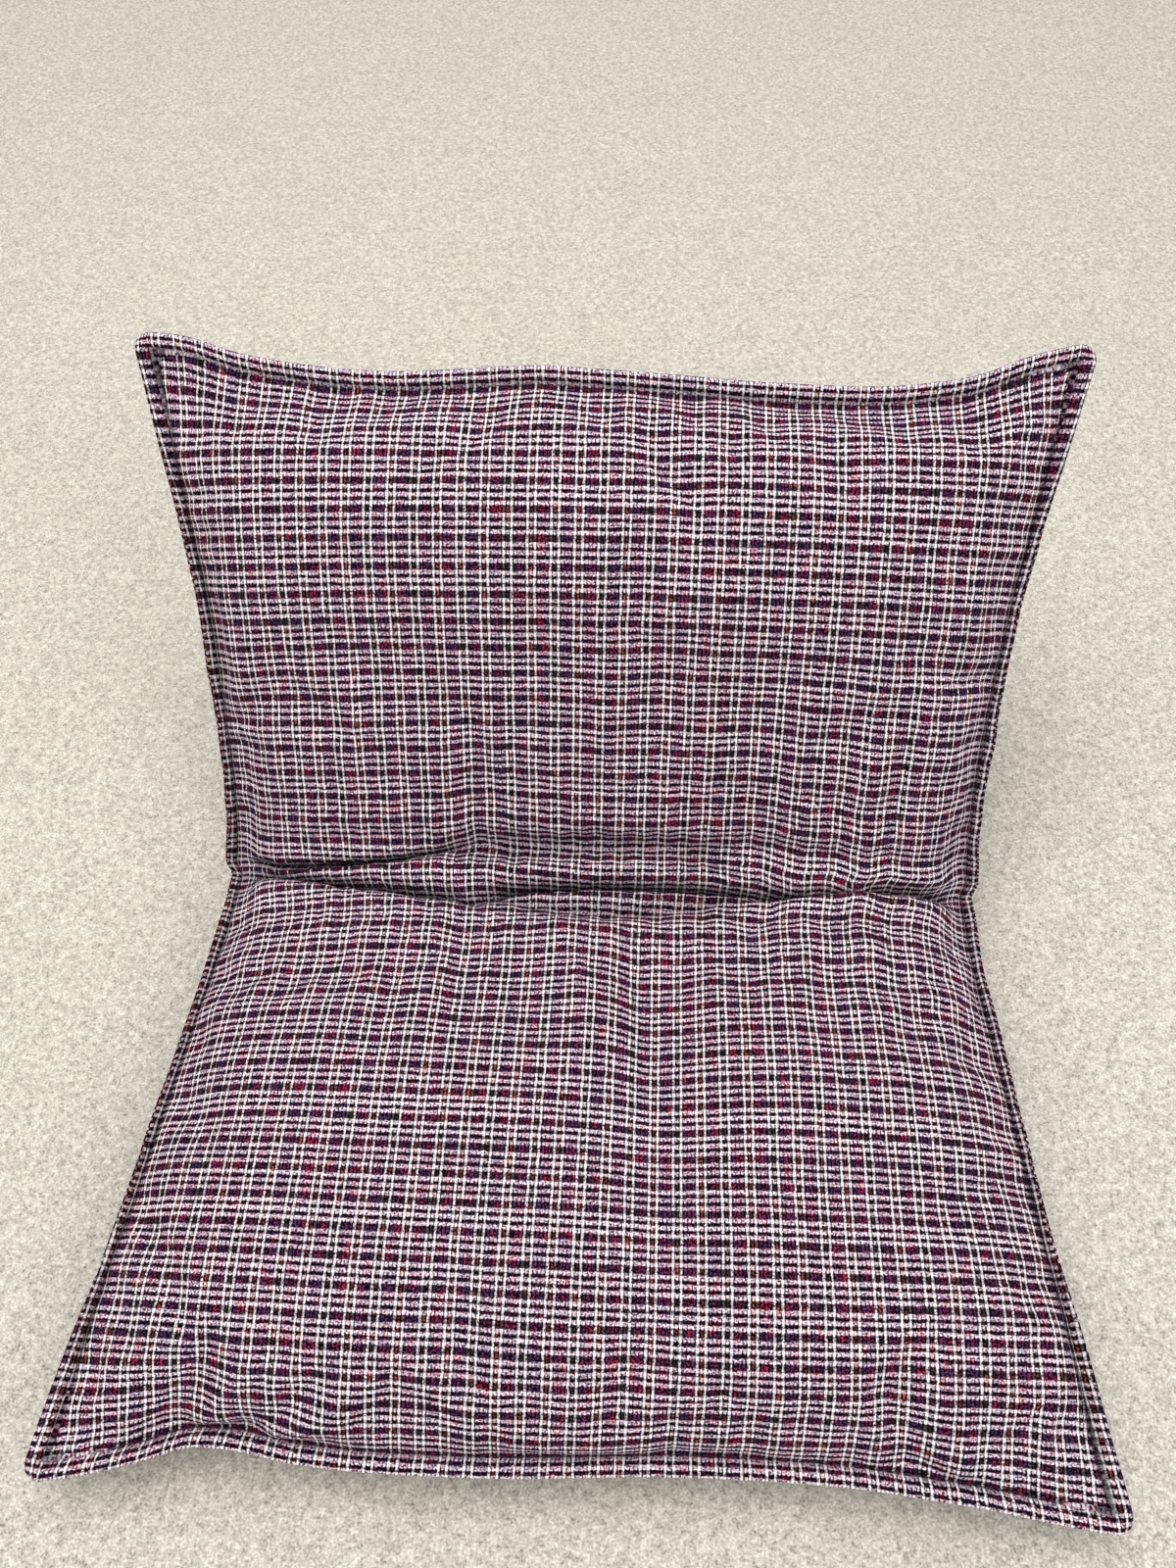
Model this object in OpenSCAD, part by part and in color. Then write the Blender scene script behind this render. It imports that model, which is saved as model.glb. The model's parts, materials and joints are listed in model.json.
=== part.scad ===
// Long floor cushion, folded at its middle: the seat half lies on the floor
// and the back half leans at an angle. Millimetres, +Z up, +X along the fold,
// the seat's front towards -Y. The origin is the bottom centre of the whole
// cushion's box.
//
// Each half is drawn in its own local frame: x along the fold, u from the fold
// to the half's free end, n square to the seam plane and towards the sitter.

/* [Outline] */
// Width between the corner tips of a free end
corner_width = 650; // [560:5:720]
// Width over the two side flanges at the fold
fold_width = 568; // [500:4:640]
// Seat half, from the fold to its front corner tips
seat_length = 406; // [340:2:460]
// Back half, from the fold to its top corner tips
back_length = 382; // [320:2:440]
// How far the middle of a free end curves inwards
end_dip = 13; // [0:1:25]

/* [Thickness] */
// Height of the seam line above the floor at the fold
seam_height = 48; // [44:1:54]
// How far the seam line drops towards the front corners
front_drop = 8; // [0:1:12]
// How far the sitter's side stands above the seam plane
crown = 50; // [40:1:52]
// Depth of the flattened rear of the back half behind the seam plane
rear_depth = 43; // [40:1:43]

/* [Fold] */
// Lean of the back half above the floor
lean = 48; // [40:1:60]
// Height of the fold line above each half's seam plane
hinge_rise = 42; // [40:1:46]
// Clear length left at the end of each half for the filling in the fold
fold_recess = 20; // [14:1:24]
// How far the cover lies on the floor behind the fold
floor_strip_reach = 30; // [15:1:40]
// Width of the strip of cover that touches the floor at the fold
floor_strip_width = 450; // [400:5:450]

/* [Cover] */
// Width of the flat stitched flange
flange = 12; // [8:1:16]
// Thickness of the flange, both layers together
flange_thickness = 4; // [3:0.5:5]
// Thickness of the woven cover
cover_thickness = 1.6; // [1.2:0.1:2]
// Length of one visible topstitch
stitch_length = 4.5; // [3:0.5:5]
// Distance from one topstitch to the next
stitch_pitch = 7; // [6:0.5:10]

/* [Inner cushion] */
// Thickness of the inner cushion's ticking
ticking_thickness = 0.8; // [0.5:0.1:1]
// Room between the cover and the ticking, and between ticking and filling
layer_gap = 0.5; // [0.4:0.1:1]
// Room between the rear of the cover and the ticking, where the zip runs
zip_room = 3.6; // [3.4:0.1:4]

/* [Zip] */
// Length of the zip's opening
zip_length = 400; // [360:10:410]
// Distance of the zip from the fold, up the rear of the back half
zip_place = 128; // [110:2:160]
// Width of the slot in the cover over the zip
zip_slot = 12; // [11:0.5:14]
// Width of one zip tape
tape_width = 12; // [10:1:14]
// Thickness of the zip tape
tape_thickness = 0.6; // [0.5:0.1:0.7]
// Pitch of the zip's teeth
tooth_pitch = 2.5; // [2:0.5:4]

/* [Hidden] */

tweed_colour = [0.42, 0.33, 0.38];
ticking_colour = [0.90, 0.88, 0.84];
filling_colour = [0.96, 0.96, 0.94];
thread_colour = [0.16, 0.08, 0.13];
zip_colour = [0.20, 0.12, 0.18];
metal_colour = [0.55, 0.53, 0.52];

// The fold's side points stand at fold_y, so that the whole box is centred.
fold_y = (seat_length - back_length * cos(lean) - flange_thickness / 2 * sin(lean)) / 2;
// The fold line lies on the halves' bisector, hinge_rise above both seam planes.
hinge_inset = hinge_rise * tan(lean / 2);
hinge_y = fold_y - hinge_inset;
hinge_z = seam_height + hinge_rise;
// Each half's solids start this far up their own length.
first_u = hinge_inset + fold_recess;

// Every layer shares one grid of columns across and rows along, so that layers
// never cross. Columns and rows crowd towards the seams, where the layers curve.
side_steps = 10;
end_steps = 9;
flange_steps = 2;
columns = 2 * (side_steps + flange_steps);

// Local frames, each mapped to the cushion's own frame.
SEAT = 0;
FOLD = 1;
BACK = 2;

function turn(angle, v, n) = [v * cos(angle) - n * sin(angle), v * sin(angle) + n * cos(angle)];
function place(half, x, u, n) =
  half == SEAT ? [x, fold_y - u, seam_height + n] :
  half == BACK ? let (p = turn(lean, u, n)) [x, fold_y + p[0], seam_height + p[1]] :
  let (p = turn(lean / 2, u, n - hinge_rise)) [x, hinge_y + p[0], hinge_z + p[1]];

// The same frames for pieces drawn with plain solids.
module local(half) {
  translate([0, fold_y, seam_height])
    if (half == SEAT) mirror([0, 1, 0]) children();
    else rotate([lean, 0, 0]) children();
}

function half_length(half) = half == SEAT ? seat_length : back_length;
narrowing = (corner_width - fold_width) / 2;
function half_width(half, t) =
  fold_width / 2 + (half == FOLD ? 0 : half == SEAT ? narrowing * (1 - pow(1 - t, 2)) : narrowing * pow(t, 1.8));
function inner_s(half, t) = 1 - flange / half_width(half, t);
function inner_t(half) = 1 - flange / half_length(half);

// Fraction across, -1 to 1, of column i. The outer columns lie in the flange.
function across(half, i, t) =
  let (inner = inner_s(half, t),
       k = abs(i - columns / 2),
       side = i < columns / 2 ? -1 : 1)
  k <= side_steps ? side * inner * sin(90 * k / side_steps) :
  side * (inner + (1 - inner) * (k - side_steps) / flange_steps);

// Corner tips are rounded: a square corner cell becomes a quarter disc.
function square_to_disc(a, b) = a * sqrt(1 - b * b / 2);
function corner_part(f, inner) = max(0, (f - inner) / (1 - inner));

// Point of the seam plane at the fractions s across and t along. On the fold, t is u itself.
function outline(half, s, t) =
  half == FOLD ? [s * half_width(half, t), t] :
  let (a = corner_part(abs(s), inner_s(half, t)),
       b = corner_part(t, inner_t(half)),
       s2 = a > 0 ? sign(s) * (inner_s(half, t) + (1 - inner_s(half, t)) * square_to_disc(a, b)) : s,
       t2 = b > 0 ? inner_t(half) + (1 - inner_t(half)) * square_to_disc(b, a) : t)
  [s2 * half_width(half, t),
   t2 * half_length(half) - end_dip * (1 - pow(abs(s2), 2.5)) * pow(t2, 4)];

function seam_n(half, t) = half == SEAT ? -front_drop * t : 0;
function in_flange(half, i, t) =
  abs(i - columns / 2) >= side_steps || (half != FOLD && t > inner_t(half) - 0.0001);

// Share of the full height at column i and length fraction t: 0 at the flange, 1 in the middle.
function fullness(half, i, t, power, softness) =
  let (a = abs(across(half, i, t)) / inner_s(half, t),
       b = half == FOLD ? 0 : t / inner_t(half))
  pow(max(0, 1 - pow(a, power)) * max(0, 1 - pow(b, power)), softness);

// The sitter's side sinks by a third towards the fold, over the first sink_reach.
sink_share = 0.34;
sink_reach = 170;
function fold_sink(half, t) =
  1 - sink_share * (half == FOLD ? 1 : pow(max(0, 1 - t * half_length(half) / sink_reach), 2));
function front_rise(half, i, t) =
  flange_thickness / 2 + crown * fold_sink(half, t) * fullness(half, i, t, 3, 0.58);

// The underside and the rear are flat where they rest on the floor and the wall.
rear_bulge = 58;
fold_lift = 2; // keeps the filling in the fold clear of the strip under it
function flat_depth(half, t) =
  half == SEAT ? seam_height + seam_n(half, t) :
  half == FOLD ? rear_depth - fold_lift : rear_depth;
function rear_drop(half, i, t) =
  min(flat_depth(half, t), flange_thickness / 2 + rear_bulge * fullness(half, i, t, 4, 0.5));

// Depths of the layers' faces below the cover's outer face, along n.
ticking_front = cover_thickness + layer_gap;
ticking_rear = cover_thickness + zip_room;
filling_inside = ticking_thickness + layer_gap;
hem = 0.6;

// Rows are length fractions. Two rows of the back half bound the slot over the zip.
zip_row = zip_place / back_length;
function rows_from(half, first) =
  concat([for (j = [0 : end_steps]) first + (inner_t(half) - first) * sin(90 * j / end_steps)],
         [for (j = [1 : flange_steps]) inner_t(half) + (1 - inner_t(half)) * j / flange_steps]);
seat_rows = rows_from(SEAT, first_u / seat_length);
upper_rows = rows_from(BACK, zip_row);
lower_rows = [first_u / back_length, (first_u / back_length + zip_row) / 2, zip_row];
back_rows = concat([lower_rows[0], lower_rows[1]], upper_rows);
fold_rows = [-1, 0, 1] * (fold_recess - 0.5);
function without_last(rows, count) = [for (j = [0 : len(rows) - 1 - count]) rows[j]];

// The row on the zip steps aside by half the slot, and closes up past the zip's ends.
function row_t(half, t, i, edge) =
  half != BACK || t != zip_row ? t :
  t + edge * (abs(across(half, i, t)) * half_width(half, t) < zip_length / 2 + 6 ?
              zip_slot / 2 / back_length : 0);

// Points of one face of a layer. side is 1 for the sitter's side and -1 for the rear.
// margin is the number of columns left out at each side, and rim_n the face's n at the
// layer's own outline, or undef where it just follows the cover.
function face_points(half, side, rows, margin, depth, rim_n = undef, edge = 0) =
  [for (j = [0 : len(rows) - 1]) for (i = [margin : columns - margin])
    let (t = row_t(half, rows[j], i, edge),
         p = outline(half, across(half, i, t), t),
         height = side > 0 ? front_rise(half, i, t) : rear_drop(half, i, t),
         on_rim = i == margin || i == columns - margin || (half != FOLD && j == len(rows) - 1),
         n = !is_undef(rim_n) && on_rim ? rim_n :
             depth > 0 && in_flange(half, i, t) ? 0 : height - depth)
    place(half, p[0], p[1], seam_n(half, t) + side * n)];

// Closed solid between two faces that share one grid, n_columns points to a row.
function sheet_faces(n_rows, n_columns, base, flip) =
  [for (j = [0 : n_rows - 2]) for (i = [0 : n_columns - 2]) for (piece = [0, 1])
    let (a = base + j * n_columns + i,
         b = a + 1,
         c = a + n_columns,
         face = piece == 0 ? [a, c, b] : [b, c, c + 1])
    flip ? reversed(face) : face];
function rim_loop(n_rows, n_columns) =
  concat([for (i = [0 : n_columns - 2]) i],
         [for (j = [0 : n_rows - 2]) j * n_columns + n_columns - 1],
         [for (i = [n_columns - 1 : -1 : 1]) (n_rows - 1) * n_columns + i],
         [for (j = [n_rows - 1 : -1 : 1]) j * n_columns]);
function rim_faces(loop, size) =
  [for (k = [0 : len(loop) - 1]) for (piece = [0, 1])
    let (a = loop[k], b = loop[(k + 1) % len(loop)])
    piece == 0 ? [a, b, a + size] : [b, b + size, a + size]];
function reversed(face) = [face[2], face[1], face[0]];

module between(upper, lower, n_columns, mirrored) {
  size = len(upper);
  n_rows = size / n_columns;
  faces = concat(sheet_faces(n_rows, n_columns, 0, false),
                 sheet_faces(n_rows, n_columns, size, true),
                 rim_faces(rim_loop(n_rows, n_columns), size));
  polyhedron(concat(upper, lower), mirrored ? [for (f = faces) reversed(f)] : faces, convexity = 6);
}

// One shell: the outer face lies at the depth outer, and the inner face below it.
module shell(half, side, rows, margin, outer, thickness, outer_rim, inner_rim, edge = 0) {
  outside = face_points(half, side, rows, margin, outer, outer_rim, edge);
  inside = face_points(half, side, rows, margin, outer + thickness, inner_rim, edge);
  between(side > 0 ? outside : inside, side > 0 ? inside : outside,
          columns - 2 * margin + 1, half == SEAT);
}
module cover(half, side, rows, edge = 0) {
  color(tweed_colour) shell(half, side, rows, 0, 0, cover_thickness, undef, undef, edge);
}
module ticking(half, side, rows) {
  color(ticking_colour)
    shell(half, side, without_last(rows, flange_steps + 1), flange_steps + 1,
          side > 0 ? ticking_front : ticking_rear, ticking_thickness, hem, 0);
}
module filling(half, rows) {
  margin = flange_steps + 2;
  kept = half == FOLD ? rows : without_last(rows, flange_steps + 2);
  color(filling_colour)
    between(face_points(half, 1, kept, margin, ticking_front + filling_inside),
            face_points(half, -1, kept, margin, ticking_rear + filling_inside),
            columns - 2 * margin + 1, half == SEAT);
}

// Topstitching along the flange, on the sitter's side.
stitch_inset = flange - 1.5;
stitch_size = 0.8;
function stitch_s(half, t, side) = side * (1 - stitch_inset / half_width(half, t));
module stitch(half, from, to, t) {
  angle = atan2(to[1] - from[1], to[0] - from[0]);
  local(half)
    translate([from[0], from[1], seam_n(half, t) + flange_thickness / 2 + 0.1])
      rotate([0, 0, angle])
        translate([0, -stitch_size / 2, 0]) cube([stitch_length, stitch_size, stitch_size / 2]);
}
module topstitch(half) {
  length = half_length(half);
  step = stitch_pitch / length;
  last_t = 1 - stitch_inset / length;
  first_t = first_u / length;
  end_s = stitch_s(half, last_t, 1);
  end_step = stitch_pitch / half_width(half, last_t);
  color(thread_colour) {
    for (side = [-1, 1]) for (t = [first_t : step : last_t - step])
      stitch(half, outline(half, stitch_s(half, t, side), t),
             outline(half, stitch_s(half, t + step, side), t + step), t);
    for (s = [-end_s + end_step / 2 : end_step : end_s - end_step / 2])
      stitch(half, outline(half, s, last_t), outline(half, s + end_step, last_t), last_t);
  }
}

module seat_top_panel() { cover(SEAT, 1, seat_rows); }
module seat_bottom_panel() { cover(SEAT, -1, seat_rows); }
module seat_topstitch() { topstitch(SEAT); }
module seat_insert_upper() { ticking(SEAT, 1, seat_rows); }
module seat_insert_lower() { ticking(SEAT, -1, seat_rows); }
module seat_filling() { filling(SEAT, seat_rows); }

module fold_front_panel() { cover(FOLD, 1, fold_rows); }
module fold_rear_panel() { cover(FOLD, -1, fold_rows); }
module fold_filling() { filling(FOLD, fold_rows); }
// The strip of the cover that lies on the floor under the fold.
module fold_floor_panel() {
  color(tweed_colour)
    translate([-floor_strip_width / 2, fold_y - first_u, 0])
      cube([floor_strip_width, first_u + floor_strip_reach, cover_thickness]);
}

module back_front_panel() { cover(BACK, 1, back_rows); }
module back_rear_panel_lower() { cover(BACK, -1, lower_rows, -1); }
module back_rear_panel_upper() { cover(BACK, -1, upper_rows, 1); }
module back_topstitch() { topstitch(BACK); }
module back_insert_front() { ticking(BACK, 1, back_rows); }
module back_insert_rear() { ticking(BACK, -1, back_rows); }
module back_filling() { filling(BACK, back_rows); }

// The zip lies along x at zip_place. Its pieces are drawn at depth 0 on the tape's
// outer face, and positive depth points out of the cushion's rear.
tape_face = rear_depth - cover_thickness;
chain_gap = 0.7; // from the zip's middle to the tape's edge and the teeth's tips
tooth_length = 1.4;
spine_width = 0.8;
chain_height = 2;
chain_half = chain_gap + tooth_length + spine_width;
slider_play = 0.3;
slider_length = 12;
slider_wall = 1;
slider_half = 4.3;
slider_rest = zip_length / 2 - slider_length;
chain_end = slider_rest + slider_length / 2 + slider_play;
stop_length = 3;
lug_half = 2.9;
lug_wall = 0.9;
lug_width = 2.2;
lug_rise = 3.2;
plate_face = chain_height + slider_play + slider_wall;
bar_radius = 0.7;
bar_depth = plate_face + 1.2;
pull_half = 3.4;
pull_arm = 1.5;
pull_window = 8;
pull_length = 26;
pull_thickness = 1.2;
pull_hole = 1.6;

module at_zip(x = 0) {
  local(BACK) translate([x, zip_place, -tape_face]) mirror([0, 0, 1]) children();
}
module block(low, high) { translate(low) cube(high - low); }

module zip_tape(side) {
  color(zip_colour) at_zip()
    mirror([0, side < 0 ? 1 : 0, 0])
      block([-zip_length / 2 - 14, chain_gap, -tape_thickness],
            [zip_length / 2 + 14, chain_gap + tape_width, 0]);
}
// A comb: one spine with the teeth standing towards the zip's middle.
function comb(count, half_span) =
  concat([[half_span, chain_half], [-half_span, chain_half]],
         [for (k = [0 : count - 1]) let (x = -half_span + k * tooth_pitch)
           each [[x, chain_gap + tooth_length], [x + tooth_pitch / 4, chain_gap + tooth_length],
                 [x + tooth_pitch / 4, chain_gap], [x + tooth_pitch * 3 / 4, chain_gap],
                 [x + tooth_pitch * 3 / 4, chain_gap + tooth_length]]],
         [[half_span, chain_gap + tooth_length]]);
module zip_teeth(side) {
  count = floor(2 * chain_end / tooth_pitch);
  color(zip_colour) at_zip()
    mirror([0, side < 0 ? 1 : 0, 0])
      linear_extrude(chain_height) polygon(comb(count, count * tooth_pitch / 2));
}

module zip_tape_lower() { zip_tape(-1); }
module zip_tape_upper() { zip_tape(1); }
module zip_teeth_lower() { zip_teeth(-1); }
module zip_teeth_upper() { zip_teeth(1); }
module zip_bottom_stop() {
  color(metal_colour) at_zip(-chain_end)
    block([-stop_length, -chain_half, 0], [-slider_play, chain_half, chain_height]);
}
module zip_top_stops() {
  color(metal_colour) at_zip(chain_end)
    for (side = [0, 1]) mirror([0, side, 0])
      block([slider_play, chain_gap, 0], [stop_length, chain_half, chain_height]);
}

// Two plates joined by a bridge that runs between the two rows of teeth, and a lug for the pull.
module zip_slider() {
  half_x = slider_length / 2;
  inner_face = -tape_thickness - slider_play;
  color(metal_colour) at_zip(slider_rest) union() {
    block([-half_x, -slider_half, inner_face - slider_wall], [half_x, slider_half, inner_face]);
    block([-half_x, -slider_half, plate_face - slider_wall], [half_x, slider_half, plate_face]);
    block([-1.5, -chain_gap / 2, inner_face - slider_wall], [1.5, chain_gap / 2, plate_face]);
    for (side = [0, 1]) mirror([0, side, 0])
      block([-half_x, slider_half - 0.9, slider_play], [half_x, slider_half, plate_face]);
    for (side = [0, 1]) mirror([side, 0, 0])
      block([lug_half - lug_wall, -lug_width / 2, plate_face - 0.1],
            [lug_half, lug_width / 2, plate_face + lug_rise]);
    block([-lug_half, -lug_width / 2, plate_face + lug_rise - lug_wall],
          [lug_half, lug_width / 2, plate_face + lug_rise]);
  }
}

// A flat tab with a window for the lug and a hole at its end, hanging from a round bar.
module zip_pull() {
  color(metal_colour) at_zip(slider_rest) translate([0, 0, bar_depth]) {
    rotate([90, 0, 0]) cylinder(r = bar_radius, h = 2 * pull_half, center = true, $fn = 24);
    rotate([0, -90, 0]) translate([0, 0, -pull_thickness / 2])
      linear_extrude(pull_thickness) difference() {
        union() {
          translate([0, -pull_half]) square([pull_length - pull_half, 2 * pull_half]);
          translate([pull_length - pull_half, 0]) circle(r = pull_half, $fn = 40);
        }
        translate([-1, pull_arm - pull_half]) square([pull_window + 1, 2 * (pull_half - pull_arm)]);
        translate([pull_length - pull_half, 0]) circle(r = pull_hole, $fn = 32);
      }
  }
}

seat_top_panel();
seat_bottom_panel();
seat_topstitch();
seat_insert_upper();
seat_insert_lower();
seat_filling();
fold_front_panel();
fold_rear_panel();
fold_floor_panel();
fold_filling();
back_front_panel();
back_rear_panel_lower();
back_rear_panel_upper();
back_topstitch();
back_insert_front();
back_insert_rear();
back_filling();
zip_tape_lower();
zip_tape_upper();
zip_teeth_lower();
zip_teeth_upper();
zip_bottom_stop();
zip_top_stops();
zip_slider();
zip_pull();
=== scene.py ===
import json
import math

import bpy
import numpy as np
from mathutils import Matrix, Vector


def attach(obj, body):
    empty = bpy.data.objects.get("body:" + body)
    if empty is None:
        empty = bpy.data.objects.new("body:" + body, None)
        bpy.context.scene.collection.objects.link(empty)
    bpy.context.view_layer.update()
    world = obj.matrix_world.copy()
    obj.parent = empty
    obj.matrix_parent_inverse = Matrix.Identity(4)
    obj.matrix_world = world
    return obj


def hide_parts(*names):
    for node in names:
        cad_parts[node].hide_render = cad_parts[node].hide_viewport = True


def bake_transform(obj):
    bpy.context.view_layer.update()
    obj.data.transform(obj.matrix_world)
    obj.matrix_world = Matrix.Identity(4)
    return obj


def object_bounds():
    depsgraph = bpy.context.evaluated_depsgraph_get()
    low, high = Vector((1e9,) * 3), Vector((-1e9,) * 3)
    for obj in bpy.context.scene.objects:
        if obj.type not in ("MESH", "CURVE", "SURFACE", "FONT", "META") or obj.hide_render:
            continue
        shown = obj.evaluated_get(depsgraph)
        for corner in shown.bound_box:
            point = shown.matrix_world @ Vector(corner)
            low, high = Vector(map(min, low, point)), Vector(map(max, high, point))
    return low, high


# The looks of a long tweed floor cushion, folded at its middle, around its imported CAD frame.
# Shapes are worked out in millimetres, in the fold's own coordinates: x along the fold, y from
# the fold's side points towards the back, z up from the floor. A mesh is moved and scaled to
# the frame when it is made. "f" is the distance along a side seam, from the front stitch line.

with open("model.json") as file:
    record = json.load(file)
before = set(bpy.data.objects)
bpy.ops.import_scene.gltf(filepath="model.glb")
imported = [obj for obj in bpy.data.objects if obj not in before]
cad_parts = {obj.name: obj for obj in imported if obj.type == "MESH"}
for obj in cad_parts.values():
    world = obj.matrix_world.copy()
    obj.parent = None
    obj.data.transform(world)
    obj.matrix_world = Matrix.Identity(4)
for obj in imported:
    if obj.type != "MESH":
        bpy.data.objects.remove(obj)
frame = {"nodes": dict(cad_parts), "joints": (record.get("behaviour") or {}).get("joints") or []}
CAD_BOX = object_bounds()

MM = 0.001
LEAN = math.radians(48)  # of the back half above the floor
HINGE_RISE = 42  # of the fold line above both seam planes
hinge = next(Vector(j["pos_m"]) for j in frame["joints"] if j["name"] == "fold_hinge")
FOLD_Y = hinge.y / MM + HINGE_RISE * math.tan(LEAN / 2)

# Outline, as the CAD has it
CORNER_HALF = CAD_BOX[1].x / MM
SEAT_FOLD_HALF = 284  # half widths at the fold, where the back bulges past the seat
BACK_FOLD_HALF = 290
FRONT_SPREAD = 4  # the front corners reach this far past the CAD's
TOP_SPREAD = 3
SEAT_LENGTH = 406
BACK_LENGTH = 382
SEAM_HEIGHT = 48
FRONT_DROP = 8
REAR_DEPTH = 43
REAR_FOLD_START = 30  # the rear bends from this far in front of the fold
REAR_FOLD_END = 47  # to this far up the back
FLANGE = 12
SEAT_SEAM = SEAT_LENGTH - FLANGE
BACK_SEAM = BACK_LENGTH - FLANGE
SEAM_TOTAL = SEAT_SEAM + BACK_SEAM
COVER_THICKNESS = 1.6
CLOTH_HALF = 320.4  # half the cloth's own width between the side stitch lines,
CLOTH_SPREAD = 8  # which is this much more at the front
CLOTH_SHIFT = 3.4  # of the weave's middle from the cushion's
BACK_CLOTH = 1.008  # flat cloth to each millimetre across the back,
SEAT_CLOTH = 0.052  # and this much more across the seat
UPPER_STRETCH = 0.11  # share by which the weave is longer on the upper back
ZIP_PLACE = 128
ZIP_SLOT_HALF = 6
ZIP_HALF = 197  # half the length of the open slot
ZIP_CLOSED = 225  # the slot has closed this far from the middle

# Grid of a panel: cells across and along between the stitch lines, and the flange's columns
COLUMNS = 160
ROWS = 232
FLANGE_AT = np.array([0.8, 2.2, 4.5, 7.5, 10.2, 11.6, 12.0])  # outside the stitch line
FLANGE_TOP = np.array([0.0, 1.3, 2.7, 2.7, 2.2, 1.3, 0.15])  # above the seam plane
STITCH_LEVEL = -0.2  # the stitch line is pulled in below the flange's face
SIDE_INSET = 10.2  # the sides curve in by this much between the corners,
FOLD_INSET = 4.5  # and this much less at the fold
CORNER_TILT = 8  # degrees by which a side flange bends up at the corners,
SIDE_TILT = 54  # and this much more between them
FLANGE_SHADE = 0.3  # how much painted shade the side flanges get, as a share of a crease's depth
SEAM_SHADE = 2.8  # painted shade along the groove of a stitch line spreads over this width, this dark at the front and top and this dark at the sides
END_GROOVE_SHADE = 0.35  # this deeply at the front and top
SIDE_GROOVE_SHADE = 0.95  # and this deeply at the sides
END_LIFT = 2.5  # how far the front and top flanges' edges turn up
SIDE_OVERHANG = 4.0  # how far the filled sides bulge out over their stitch lines,
OVERHANG_HEIGHT = 6  # and how far above them
END_BOW = 13  # the centre lines' ends stand back this far from the corners,
BOW_POWER = 2.5  # along a curve of this power
REAR_LIFT = 0.5  # the most that the filling's unevenness lifts the rear panel
REAR_WEAVE_SHIFT = np.array([7.0, 5.0, 0.0])  # of the rear cloth against the front's

AXIS_X = np.array([1.0, 0.0, 0.0])


# --- Numbers ---

def smoothstep(x):
    t = np.clip(x, 0, 1)
    return t * t * (3 - 2 * t)


def window(x, start, end, ease):
    """1 between start and end, falling smoothly to 0 towards both over the ease."""
    return smoothstep((x - start) / ease) * smoothstep((end - x) / ease)


def bump(x, width):
    """1 at 0, falling smoothly to nothing over a few widths."""
    return np.exp(-(x / width) ** 2)


def hermite(t, step, first, second, first_slope, second_slope):
    """The cubic from first to second, t from 0 to 1 over the step, with these slopes at its ends."""
    return ((2 * t**3 - 3 * t**2 + 1) * first + (t**3 - 2 * t**2 + t) * step * first_slope
            + (3 * t**2 - 2 * t**3) * second + (t**3 - t**2) * step * second_slope)


def arc_length(points):
    """Distance of each point of a line from its start."""
    return np.concatenate([[0], np.cumsum(np.linalg.norm(np.diff(points, axis=0), axis=1))])


def path_through(points, samples=3000):
    """A smooth curve through the points, as many samples evenly spaced along it, and its length."""
    p = np.array(points, float)
    at = arc_length(p)
    slope = np.gradient(p, at, axis=0)
    where = np.linspace(0, at[-1], samples)
    k = np.clip(np.searchsorted(at, where, side="right") - 1, 0, len(at) - 2)
    step = (at[k + 1] - at[k])[:, None]
    t = (where - at[k])[:, None] / step
    curve = hermite(t, step, p[k], p[k + 1], slope[k], slope[k + 1])
    return arc_length(curve), curve


def along(path, distance):
    """Points of a path at these distances from its start."""
    arc, curve = path
    return np.stack([np.interp(distance, arc, curve[:, i]) for i in range(curve.shape[1])], axis=-1)


def smooth_noise(x, y, seed):
    """Value noise from -1 to 1 with one lattice cell to a unit, the same on every run."""
    lattice = np.random.default_rng(seed).uniform(-1, 1, (64, 64))
    i, j = np.floor(x).astype(int), np.floor(y).astype(int)
    a, b = smoothstep(x - i), smoothstep(y - j)

    def corner(di, dj):
        return lattice[(i + di) % 64, (j + dj) % 64]

    low = corner(0, 0) * (1 - a) + corner(1, 0) * a
    high = corner(0, 1) * (1 - a) + corner(1, 1) * a
    return low * (1 - b) + high * b


# --- The cushion's two centre lines and its side seams ---

def back_point(u, n):
    """(y, z) of a point u up the back half and n in front of its seam plane."""
    return (u * math.cos(LEAN) - n * math.sin(LEAN),
            SEAM_HEIGHT + u * math.sin(LEAN) + n * math.cos(LEAN))


# (y, z) of the sitter's side: front edge, crown of the seat, fold, crown of the back, top edge
FRONT_SEAT = [(-381, 41), (-375, 58), (-356, 76), (-312, 92), (-240, 99), (-170, 99),
              (-110, 93), (-70, 86), (-34, 81), (-2, 82)]
FRONT_BACK = [(-2, 82), (14, 90), (24, 112), back_point(87, 33), back_point(159, 40),
              back_point(228, 48), back_point(285, 45), back_point(335, 28), back_point(357, 1)]
# (y, z) of the floor's and the wall's side, which is flat where the cushion rests
REAR_SEAT = [(-381, 39), (-375, 24), (-354, 9), (-322, 1.5), (-285, 0), (-200, 0), (-100, 0),
             (-REAR_FOLD_START, 0)]
REAR_FOLD = [(-REAR_FOLD_START, 0), (0, 0.3), (22, 4), (40, 16), (53, 36),
             back_point(REAR_FOLD_END, -REAR_DEPTH)]
REAR_LOW = [back_point(u, -REAR_DEPTH) for u in (REAR_FOLD_END, 90, ZIP_PLACE)]
REAR_HIGH = [back_point(u, -REAR_DEPTH) for u in (ZIP_PLACE, 200, 285)]
REAR_HIGH += [back_point(325, -36), back_point(348, -20), back_point(357, -1)]


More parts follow.
